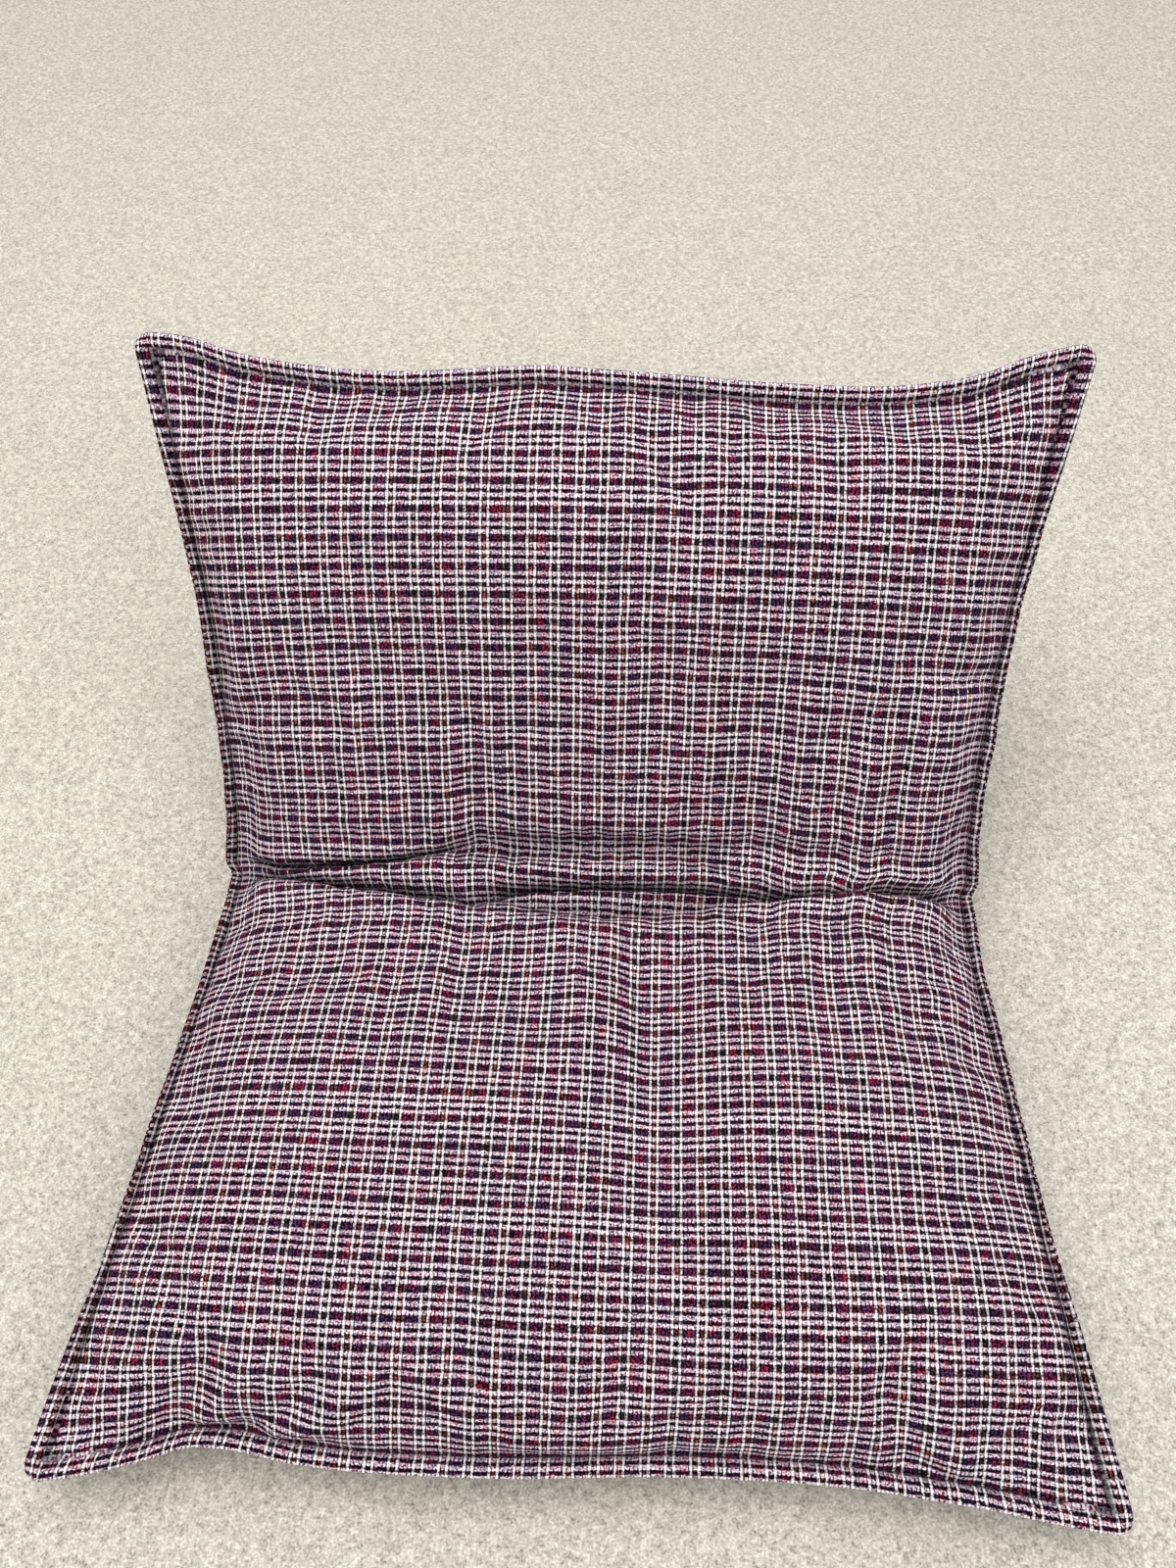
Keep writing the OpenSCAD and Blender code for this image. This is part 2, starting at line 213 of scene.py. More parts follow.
def seam_rows():
    """Distances along the side seam of the rows, closer together at the fold, one on the zip."""
    fine = np.linspace(0, SEAM_TOTAL, 4000)
    density = 1 + 2.2 * bump(fine - SEAT_SEAM, 55)
    share = np.cumsum(density)
    share = (share - share[0]) / (share[-1] - share[0])
    rows = np.interp(np.linspace(0, 1, ROWS + 1), share, fine)
    zip_at = SEAT_SEAM + ZIP_PLACE
    zip_row = 2 * int(np.argmin(abs(rows[::2] - zip_at)))
    near = rows[zip_row]
    low = rows * zip_at / near
    high = zip_at + (rows - near) * (SEAM_TOTAL - zip_at) / (SEAM_TOTAL - near)
    return np.where(rows <= near, low, high), zip_row


SEAM_ROWS, ZIP_ROW = seam_rows()
# Even steps in x, a little closer near the sides, where the cushion curves down
EVEN_STEPS = np.linspace(-1, 1, COLUMNS + 1)
ACROSS = 0.5 * EVEN_STEPS + 0.5 * np.sin(EVEN_STEPS * math.pi / 2)


def from_corner(f):
    """Distance along the side seam from the nearer corner."""
    return np.minimum(f, SEAM_TOTAL - f)


def half_width(f):
    """Half the width between the outer edges of the flanges."""
    seat = np.clip((SEAT_SEAM - f) / SEAT_LENGTH, 0, 1)
    back = np.clip((f - SEAT_SEAM) / BACK_LENGTH, 0, 1)
    seat_half = SEAT_FOLD_HALF + (CORNER_HALF + FRONT_SPREAD - SEAT_FOLD_HALF) * seat
    back_half = BACK_FOLD_HALF + (CORNER_HALF + TOP_SPREAD - BACK_FOLD_HALF) * back**2
    share = smoothstep((f - SEAT_SEAM + 8) / 16)
    drawn_in = SIDE_INSET * smoothstep(from_corner(f) / 150) - FOLD_INSET * bump(f - SEAT_SEAM, 40)
    return seat_half + (back_half - seat_half) * share - drawn_in


def flange_tilt(f):
    """Angle by which the side flanges bend up towards the sitter: least at the corners."""
    return -np.radians(CORNER_TILT + SIDE_TILT * smoothstep((from_corner(f) - 15) / 110))


def stitch_half(f):
    """Half the width between the side stitch lines."""
    return half_width(f) - FLANGE * np.cos(flange_tilt(f))


def seam_line(f):
    """(y, z) of the side seam, with the bend at the fold eased over a few millimetres."""
    total = 0
    eased = np.linspace(-9, 9, 13)
    for shift in eased:
        u = f + shift - SEAT_SEAM
        seat_z = SEAM_HEIGHT - FRONT_DROP * np.clip(-u, 0, None) / SEAT_LENGTH
        back = np.clip(u, 0, None)
        y = np.minimum(u, 0) + back * math.cos(LEAN)
        z = np.where(u < 0, seat_z, SEAM_HEIGHT + back * math.sin(LEAN))
        total = total + np.stack([y, z], axis=-1)
    return total / len(eased)


def slant(f):
    """Angle of the seam plane: 0 on the seat, the lean on the back, turning about the fold."""
    return LEAN * smoothstep((f - SEAT_SEAM + 60) / 120)


def frames(f):
    """Unit vectors along the seam plane and square to it, for each row."""
    angle = slant(f)
    zero = np.zeros_like(angle)
    tangent = np.stack([zero, np.cos(angle), np.sin(angle)], axis=-1)
    normal = np.stack([zero, -np.sin(angle), np.cos(angle)], axis=-1)
    return tangent, normal


# Inward curve of the front edge: (x, distance behind the corners)
FRONT_INSET = [(-330, -5), (-295, 0), (-262, 8), (-228, 18), (-205, 18), (-170, 13), (-60, 10),
               (70, 16), (180, 14), (212, 11), (250, 7), (285, 2), (330, -3)]
# Inward curve of the top edge, whose corners stand up like ears
TOP_INSET = [(-328, -9), (-290, -6), (-255, 4), (-220, 10), (-150, 15), (-85, 12), (-50, 10), (0, 12),
             (50, 15), (115, 19), (215, 18), (250, 12), (282, 0), (328, -11)]


def curve_value(points, x):
    """A smooth function of x through a few points."""
    at, value = np.array(points, float).T
    slope = np.gradient(value, at)
    k = np.clip(np.searchsorted(at, x, side="right") - 1, 0, len(at) - 2)
    step = at[k + 1] - at[k]
    t = np.clip((x - at[k]) / step, 0, 1)
    return hermite(t, step, value[k], value[k + 1], slope[k], slope[k + 1])


# --- A panel's surface ---

def centre_line(side):
    """(y, z) of the centre column at each row, and its distance from the front stitch line."""
    if side > 0:
        pieces = [(path_through(FRONT_SEAT), 0, SEAT_SEAM), (path_through(FRONT_BACK), SEAT_SEAM, SEAM_TOTAL)]
    else:
        pieces = [(path_through(REAR_SEAT), 0, SEAT_SEAM - REAR_FOLD_START),
                  (path_through(REAR_FOLD), SEAT_SEAM - REAR_FOLD_START, SEAT_SEAM + REAR_FOLD_END),
                  (path_through(REAR_LOW), SEAT_SEAM + REAR_FOLD_END, SEAT_SEAM + ZIP_PLACE),
                  (path_through(REAR_HIGH), SEAT_SEAM + ZIP_PLACE, SEAM_TOTAL)]
    points, done = np.zeros((len(SEAM_ROWS), 2)), np.zeros(len(SEAM_ROWS))
    travelled = 0
    for path, first, last in pieces:
        length = path[0][-1]
        here = (SEAM_ROWS >= first) & (SEAM_ROWS <= last)
        at = (SEAM_ROWS[here] - first) / (last - first) * length
        points[here] = along(path, at)
        done[here] = travelled + at
        travelled += length
    return points, done


def smooth_minimum(a, b, softness):
    h = np.clip(0.5 + 0.5 * (b - a) / softness, 0, 1)
    return b * (1 - h) + a * h - softness * h * (1 - h)


def pillow_surface(side):
    """Points of the panel between its stitch lines: rows along the seam, columns across."""
    f = SEAM_ROWS
    centre, _ = centre_line(side)
    tangent, normal = frames(f)
    inner = stitch_half(f)
    g = abs(ACROSS)
    seam = np.concatenate([np.zeros((len(f), 1)), seam_line(f)], axis=1)
    seam = seam + side * STITCH_LEVEL * normal
    offset = np.concatenate([np.zeros((len(f), 1)), centre], axis=1) - seam
    forward = (offset * tangent).sum(1)
    outward = (offset * normal).sum(1)
    flat_share = 1 - g**BOW_POWER
    if side > 0:
        rise = (1 - g**3) ** 0.52
    else:
        rise = smooth_minimum(np.ones_like(g), 1.32 * np.sqrt(1 - g**4), 0.08)
    height = outward[:, None] * rise[None, :]
    level = abs(height) / OVERHANG_HEIGHT
    overhang = SIDE_OVERHANG * level * np.exp(1 - level) * smoothstep((from_corner(f) - 12) / 60)[:, None]
    x = inner[:, None] * ACROSS[None, :] + np.sign(ACROSS)[None, :] * overhang * (g > 0.5)[None, :]
    return (x[..., None] * AXIS_X + seam[:, None, :]
            + (forward[:, None] * flat_share[None, :])[..., None] * tangent[:, None, :]
            + height[..., None] * normal[:, None, :])


def grid_normals(points, side):
    """Unit normals of a grid, pointing out of the cushion."""
    across = np.gradient(points, axis=1)
    lengthwise = np.gradient(points, axis=0)
    normal = np.cross(across, lengthwise)
    size = np.linalg.norm(normal, axis=-1, keepdims=True)
    return side * normal / np.maximum(size, 1e-9)


def edge_insets(points):
    """Pulls the ends' middles in, beyond what the centre lines hold, to the edges' own curves."""
    x = points[..., 0]
    f = SEAM_ROWS[:, None]
    tangent, _ = frames(SEAM_ROWS)
    default = END_BOW * (1 - (abs(ACROSS) ** BOW_POWER))[None, :]
    front = (curve_value(FRONT_INSET, x) - default - 2) * smoothstep(1 - f / 70)
    top = -(curve_value(TOP_INSET, x) - default) * smoothstep(1 - (SEAM_TOTAL - f) / 60)
    return points + (front + top)[..., None] * tangent[:, None, :]


# Creases across the fold, as (x, distance behind the fold's reference row along the cloth)
UPPER_CREASE = [(-280, 6), (-200, 1), (-160, 2), (-105, 9), (-60, 11), (60, 12), (115, 5), (150, -8)]
MIDDLE_CREASE = [(-100, -29), (-66, -22), (-30, -19), (50, -16), (128, -16), (175, -12), (220, -7),
                 (280, -11)]
LOWER_CREASE = [(-280, -6), (-235, -14), (-175, -23), (-100, -31), (-45, -38), (0, -41), (50, -37),
                (100, -31), (130, -26), (155, -23), (190, -17), (240, -14)]
# Line, depth, half-width of cloth drawn in, how far it closes, and the x range it is open over
FOLD_CREASES = [
    (UPPER_CREASE, 11, 7, 0.95, (-283, -85)),
    (UPPER_CREASE, 7, 10, 0.35, (-130, 120)),
    (MIDDLE_CREASE, 18, 7, 0.85, (-100, 284)),
    (LOWER_CREASE, 15, 7, 0.9, (-283, -75)),
    (LOWER_CREASE, 8, 9, 0.45, (-120, 125)),
    (LOWER_CREASE, 11, 5, 0.9, (95, 235)),
]
# Short pleats where the creases meet: start and end as (x, distance), half-width, depth
FOLD_PLEATS = [
    ((118, -8), (168, -21), 3.2, 6),
    ((158, -4), (214, -17), 3.0, 5),
    ((205, -2), (258, -16), 3.4, 4),
    ((-252, 10), (-278, -4), 4.0, 4),
]
# Rolls of cloth beside the creases: height, distance, width, x range and how softly it ends
FOLD_ROLLS = [
    (3.0, -4, 12, (-250, 150), 90),
    (2.0, -29, 8, (-90, 140), 50),
    (6.5, 33, 18, (-280, 280), 80),
    (4.0, -62, 17, (-270, 270), 80),
]


def fold_creases(x, arc):
    """What the fold does to the sitter's side: an outward push, a shift along the cloth that closes
    each crease's mouth, and how much painted shade the cloth gets there. arc is measured from the fold's row."""
    push, shift, crease_shade = np.zeros_like(x), np.zeros_like(x), np.zeros_like(x)
    for line, depth, width, closing, (start, end) in FOLD_CREASES:
        away = arc - curve_value(line, x)
        openness = window(x, start, end, 40)
        push -= depth * openness * bump(away, width)
        push += 0.16 * depth * openness * bump(abs(away) - 2.3 * width, 1.2 * width)
        drawn = np.tanh(away / width) * np.exp(-np.maximum(abs(away) - width, 0) / 22)
        shift -= width * closing * openness * drawn
        # Painted shade where a crease closes
        crease_shade = np.maximum(crease_shade, 0.9 * closing * openness * bump(away, 0.95 * width))
    for start, end, width, depth in FOLD_PLEATS:
        push += ripple(x, arc, start, end, width, -depth)
    for height, at, width, (start, end), ease in FOLD_ROLLS:
        push += height * bump(arc - at, width) * window(x, start, end, ease)
    return push, shift, crease_shade


def ripple(x, f, start, end, width, height):
    """A soft ridge (or, with a negative height, a valley) along a line in (x, f)."""
    start, end = np.array(start, float), np.array(end, float)
    run = end - start
    length = np.hypot(*run)
    dx, df = x - start[0], f - start[1]
    t = (dx * run[0] + df * run[1]) / length**2
    away = (dx * run[1] - df * run[0]) / length
    return height * bump(away, width) * smoothstep((t + 0.25) / 0.45) * smoothstep((1.25 - t) / 0.45)


# Soft ridges and valleys of the sitter's side: start and end in (x, f), width, height
FRONT_RIPPLES = [
    ((46, 345), (60, 150), 34, -10),
    ((28, 330), (46, 210), 12, -3.5),
    ((-30, 335), (15, 250), 20, 3.0),
    ((125, 330), (135, 200), 30, 3.0),
    ((-30, 230), (60, 160), 18, -2.0),
    ((-120, 300), (-60, 180), 26, 1.5),
    ((-226, -4), (-190, 60), 11, 3.6),
    ((-205, -4), (-150, 48), 10, -3.0),
    ((-250, 0), (-215, 70), 11, -3.0),
    ((-180, 0), (-120, 40), 9, 3.0),
    ((205, 0), (180, 60), 12, -3.5),
    ((235, 0), (215, 70), 12, 3.0),
    ((-150, 380), (-90, 330), 12, -2.0),
    ((150, 380), (105, 330), 12, -2.0),
]


def puckers(x, f, seed):
    """Small gathers along the stitch lines, dying out within a few centimetres."""
    from_side = np.maximum(stitch_half(f)[:, None] - abs(x), 0)
    from_end = from_corner(f)[:, None] + 0 * x
    f_full = f[:, None] + 0 * x
    side = smooth_noise(f_full / 13, np.sign(x) * 3 + 7, seed) * np.exp(-from_side / 16)
    end = smooth_noise(x / 15, np.sign(f_full - 300) * 3 + 7, seed + 1) * np.exp(-from_end / 16)
    rim = np.minimum(from_side, from_end)
    return 1.9 * (side + end) * smoothstep(rim / 5)


def undulation(x, f, seed):
    """The filling's own slow unevenness."""
    f = f[:, None] + 0 * x
    return (2.2 * smooth_noise(x / 95 + 11, f / 80, seed) + 1.0 * smooth_noise(x / 38, f / 34 + 5, seed + 1)
            + 0.35 * smooth_noise(x / 15, f / 15, seed + 2))


def swallowed(base, folded):
    """Extra cloth each column holds in its creases, spread over the cloth on both sides."""
    lengths = [np.linalg.norm(np.diff(panel, axis=0), axis=-1) for panel in (folded, base)]
    extra = lengths[0] - lengths[1]
    extra = np.concatenate([np.zeros((1, extra.shape[1])), np.cumsum(extra, axis=0)])
    kernel = np.hanning(11)[1:-1]
    padded = np.pad(extra, ((0, 0), (4, 4)), mode="edge")
    extra = np.apply_along_axis(lambda row: np.convolve(row, kernel / kernel.sum(), "valid"), 1, padded)
    ramp = smoothstep((SEAM_ROWS - SEAT_SEAM + 220) / 440)[:, None]
    return extra - extra[-1:] * ramp


def fabric_coordinates(points):
    """(across, along) of each point in the flat cloth, in millimetres."""
    steps = np.linalg.norm(np.diff(points, axis=1), axis=-1)
    run = np.concatenate([np.zeros((len(points), 1)), np.cumsum(steps, axis=1)], axis=1)
    half_run = run[:, -1:] / 2
    along_row = run - half_run
    seat_share = smoothstep((SEAT_SEAM - SEAM_ROWS) / 60)[:, None]
    even = along_row * (BACK_CLOTH + SEAT_CLOTH * seat_share)
    spare = CLOTH_HALF + CLOTH_SPREAD * smoothstep(1 - SEAM_ROWS / 200)[:, None] - even[:, -1:]
    reach = np.where(spare > 0, 55, 160)
    gathered = np.clip((abs(along_row) - half_run + reach) / reach, 0, 1) ** 2
    across = even + np.sign(along_row) * spare * gathered + CLOTH_SHIFT
    middle = points[:, COLUMNS // 2 - 12: COLUMNS // 2 + 13]
    lengthwise = np.linalg.norm(np.diff(middle, axis=0), axis=-1).mean(axis=1)
    upper_back = smoothstep((SEAM_ROWS[1:] - SEAT_SEAM - 100) / 150)
    down = np.concatenate([[0], np.cumsum(lengthwise / (1 + UPPER_STRETCH * upper_back))])
    return np.stack([across, down[:, None] + 0 * across], axis=-1)


def with_flange(points, cloth, side):
    """Adds the flat flange round a panel: its columns and rows outside the stitch lines."""
    count = len(FLANGE_AT)
    out = np.concatenate([-FLANGE_AT[::-1], np.zeros(COLUMNS + 1), FLANGE_AT])
    up = np.concatenate([-FLANGE_AT[::-1], np.zeros(ROWS + 1), FLANGE_AT])
    column = np.clip(np.arange(len(out)) - count, 0, COLUMNS)
    row = np.clip(np.arange(len(up)) - count, 0, ROWS)
    base = points[row][:, column]
    cloth = cloth[row][:, column]
    tangent, normal = (v[row] for v in frames(SEAM_ROWS))
    a, b = out[None, :] / FLANGE, up[:, None] / FLANGE
    round_a, round_b = a * np.sqrt(1 - b**2 / 2), b * np.sqrt(1 - a**2 / 2)
    reach = FLANGE * np.maximum(abs(a), abs(b))
    profile = np.interp(reach, np.concatenate([[0], FLANGE_AT]), np.concatenate([[STITCH_LEVEL], FLANGE_TOP]))
    level = side * (profile - STITCH_LEVEL)
    f = SEAM_ROWS[row][:, None] + up[:, None]
    x = base[..., 0] + out[None, :]
    tilt = flange_tilt(SEAM_ROWS)[row][:, None]
    at_side = abs(out)[None, :] > 0
    wave = smooth_noise(x / 46 + 20, f / 46 + 3, 31) + 0.5 * smooth_noise(x / 19, f / 19, 32)
    level = level + 1.5 * wave * smoothstep(reach / FLANGE)
    notch = 7 * bump(x + 216, 26) * smoothstep((60 - f) / 60) * reach / FLANGE
    outward = round_a * FLANGE * np.where(at_side, np.cos(tilt), 1)
    outward = outward + level * np.sign(out)[None, :] * np.sin(tilt)
    upward = np.where(at_side, level * np.cos(tilt) - abs(round_a) * FLANGE * np.sin(tilt), level) + notch
    upward = upward + END_LIFT * abs(round_b)
    moved = (base + outward[..., None] * AXIS_X
             + (round_b * FLANGE)[..., None] * tangent[:, None, :]
             + upward[..., None] * normal[:, None, :])
    outside = np.stack(np.broadcast_arrays(out[None, :], up[:, None], 0.0), axis=-1)
    cloth = cloth + outside
    # Painted shade: the grooves' shade fades out across the flange, and the side flanges get a flat painted
    # shade
    shaded = FLANGE_SHADE * smoothstep(abs(out)[None, :] / 4) * smoothstep((from_corner(f) + 10) / 80)
    cloth[..., 2] = np.maximum(cloth[..., 2] * bump(reach, SEAM_SHADE), shaded)
    return moved, cloth


# --- Cloth simulation ---

SIM_STEP = 2  # the simulation takes every second row and column
SIM_FRAMES = 24
SIM_CAP = 5.0  # the most a point may move


def hold_weights(side, x):
    """How firmly each point is held while the cover is blown up: seams, fold, zip and floor."""
    f = SEAM_ROWS[::SIM_STEP][:, None] + 0 * x
    hold = 0.10 + 0.65 * bump(f - SEAT_SEAM, 75)
    if side < 0:
        flat = window(f, 60, SEAM_TOTAL - 40, 40)
        hold = np.maximum(hold, 0.55 * flat)
        hold = np.maximum(hold, bump(f - SEAT_SEAM - ZIP_PLACE, 30))
    hold[0] = hold[-1] = 1
    hold[:, 0] = hold[:, -1] = 1
    return hold


def blown_up(front, rear):
    """Both panels after Blender's Cloth has filled them: sewn at the rim, pressed from inside."""
    grids = [panel[::SIM_STEP, ::SIM_STEP] for panel in (front, rear)]
    rows, columns = grids[0].shape[:2]
    size = rows * columns
    index = np.arange(size).reshape(rows, columns)
    rim = np.ones((rows, columns), bool)
    rim[1:-1, 1:-1] = False
    rear_index = size + index
    rear_index[rim] = index[rim]
    faces = np.concatenate([grid_faces(rows, columns), grid_faces(rows, columns, size, True)])
    lookup = np.concatenate([index.ravel(), rear_index.ravel()])
    faces = lookup[faces]
    points = np.concatenate([grid.reshape(-1, 3) for grid in grids])
    seam = (grids[0][rim] + grids[1][rim]) / 2
    points[index[rim]] = seam
    weights = np.concatenate([hold_weights(side, grid[..., 0]).ravel()
                              for side, grid in zip((1, -1), grids)])

    trial = make_object("trial", to_frame(points), faces, MATERIALS["ticking"])
    group = trial.vertex_groups.new(name="hold")
    for number, weight in enumerate(weights):
        group.add([number], float(weight), "REPLACE")
    cloth = trial.modifiers.new("cloth", "CLOTH")
    settings = cloth.settings
    settings.quality = 4
    settings.mass = 0.25
    settings.tension_stiffness = 25
    settings.compression_stiffness = 25
    settings.shear_stiffness = 6
    settings.bending_stiffness = 1.5
    settings.vertex_group_mass = "hold"
    settings.pin_stiffness = 0.6
    settings.shrink_min = -0.012
    settings.use_pressure = True
    settings.uniform_pressure_force = 0.9
    settings.effector_weights.gravity = 0
    cloth.collision_settings.use_collision = False
    cloth.point_cache.frame_end = SIM_FRAMES
    scene = bpy.context.scene
    for step in range(1, SIM_FRAMES + 1):
        scene.frame_set(step)
    settled = trial.evaluated_get(bpy.context.evaluated_depsgraph_get()).to_mesh()
    after = np.zeros(len(settled.vertices) * 3)
    settled.vertices.foreach_get("co", after)
    bpy.data.objects.remove(trial)
    scene.frame_set(1)
    moved = after.reshape(-1, 3) / MM - np.array([0, FOLD_Y, 0]) - points
    distance = np.linalg.norm(moved, axis=-1, keepdims=True)
    moved = moved * SIM_CAP * np.tanh(distance / SIM_CAP) / np.maximum(distance, 1e-9)
    width, length = np.meshgrid(np.arange(columns), np.arange(rows))
    from_rim = np.minimum(np.minimum(width, columns - 1 - width), np.minimum(length, rows - 1 - length))
    calm = smoothstep(from_rim / 5)[..., None]
    results = []
    for panel, part in ((front, moved[:size]), (rear, moved[size:])):
        part = part.reshape(rows, columns, 3) * calm
        results.append(panel + finer(finer(part).transpose(1, 0, 2)).transpose(1, 0, 2))
    results[1][..., 2] = np.maximum(results[1][..., 2], 0)
    return results


def finer(grid):
    """The same field with a row between each two, on a smooth curve through them."""
    ends = np.concatenate([2 * grid[:1] - grid[1:2], grid, 2 * grid[-1:] - grid[-2:-1]])
    between = (9 * (ends[1:-2] + ends[2:-1]) - ends[:-3] - ends[3:]) / 16
    result = np.empty((2 * len(grid) - 1, *grid.shape[1:]))
    result[::2], result[1::2] = grid, between
    return result


# --- Meshes ---

def to_frame(points):
    """From millimetres in the fold's coordinates to the frame's metres."""
    return (points + np.array([0, FOLD_Y, 0])) * MM


def make_object(name, vertices, faces, material, cloth=None):
    """cloth holds, for each vertex, its place in the flat cloth and, for covers, how much painted shade it
    gets.
    """
    mesh = bpy.data.meshes.new(name)
    mesh.from_pydata(vertices.tolist(), [], faces.tolist() if hasattr(faces, "tolist") else faces)
    mesh.polygons.foreach_set("use_smooth", np.ones(len(mesh.polygons), bool))
    if cloth is not None:
        layer = mesh.uv_layers.new(name="Fabric")
        corner = np.zeros(len(mesh.loops), np.int32)
        mesh.loops.foreach_get("vertex_index", corner)
        layer.data.foreach_set("uv", (cloth[corner, :2] * MM).astype(np.float32).ravel())
        # A third column of painted shade becomes the point attribute that the tweed reads
        if cloth.shape[1] == 3:
            hollow = mesh.attributes.new("PaintedShade", "FLOAT", "POINT")
            hollow.data.foreach_set("value", cloth[:, 2].astype(np.float32))
    mesh.materials.append(material)
    mesh.validate()
    obj = bpy.data.objects.new(name, mesh)
    bpy.context.scene.collection.objects.link(obj)
    return obj


def grid_faces(rows, columns, base=0, flip=False):
    i, j = np.meshgrid(np.arange(columns - 1), np.arange(rows - 1))
    a = (base + j * columns + i).ravel()
    quads = np.stack([a, a + 1, a + columns + 1, a + columns], axis=1)
    return quads[:, ::-1] if flip else quads


def rim_faces(rows, columns, size, flip=False):
    """Quads that close the gap between two grids of the same shape along their outline."""
    top = np.arange(columns)
    right = np.arange(1, rows) * columns + columns - 1
    bottom = (rows - 1) * columns + np.arange(columns - 2, -1, -1)
    left = np.arange(rows - 2, 0, -1) * columns
    loop = np.concatenate([top, right, bottom, left])
    after = np.roll(loop, -1)
    quads = np.stack([loop, loop + size, after + size, after], axis=1)
    return quads[:, ::-1] if flip else quads


def shell_object(name, outer, cloth, side, thickness, material):
    """A closed sheet of cloth: the outer grid, the same grid one thickness inside, and its rim."""
    rows, columns = outer.shape[:2]
    inner = outer - thickness * grid_normals(outer, side)
    size = rows * columns
    vertices = to_frame(np.concatenate([outer.reshape(-1, 3), inner.reshape(-1, 3)]))
    flip = side < 0
    faces = np.concatenate([grid_faces(rows, columns, 0, flip), grid_faces(rows, columns, size, not flip),
                            rim_faces(rows, columns, size, flip)])
    cloth = np.concatenate([cloth.reshape(size, -1)] * 2)
    return make_object(name, vertices, faces, material, cloth)


# --- Materials ---

class Wire:
    """A shader value that ordinary arithmetic works on."""

    def __init__(self, tree, socket):
        self.tree = tree
        self.socket = socket

    def math(self, operation, *others, clamp=False):
        node = self.tree.nodes.new("ShaderNodeMath")
        node.operation = operation
        node.use_clamp = clamp
        for place, value in enumerate((self, *others)):
            plug(self.tree, node.inputs[place], value)
        return Wire(self.tree, node.outputs[0])

    def __add__(self, other):
        return self.math("ADD", other)

    def __sub__(self, other):
        return self.math("SUBTRACT", other)

    def __rsub__(self, other):
        return self.math("MULTIPLY_ADD", -1.0, other)

    def __mul__(self, other):
        return self.math("MULTIPLY", other)

    def __truediv__(self, other):
        return self.math("DIVIDE", other)

    def inverse(self):
        """1 minus the value."""
        return self.math("MULTIPLY_ADD", -1.0, 1.0)

    def floor(self):
        return self.math("FLOOR")

    def fraction(self):
        return self.math("FRACT")

    def above(self, limit):
        return self.math("GREATER_THAN", limit)

    def highest(self, other):
        return self.math("MAXIMUM", other)

    def band(self, low, high, soft):
        """1 between low and high, with soft edges."""
        rising = self.math("MULTIPLY_ADD", 1 / soft, 0.5 - low / soft, clamp=True)
        falling = self.math("MULTIPLY_ADD", -1 / soft, 0.5 + high / soft, clamp=True)
        return rising * falling

    def dome(self, low, high):
        """A round profile, 0 at low and high and 1 half way, for a value known to be between."""
        middle, half = (low + high) / 2, (high - low) / 2
        scaled = self.math("MULTIPLY_ADD", 1 / half, -middle / half)
        return (scaled * scaled).math("MULTIPLY_ADD", -1.0, 1.0, clamp=True).math("POWER", 0.5)


def plug(tree, socket, value):
    if isinstance(value, Wire):
        tree.links.new(value.socket, socket)
    elif isinstance(value, tuple):
        socket.default_value = (*value, 1.0)
    else:
        socket.default_value = value


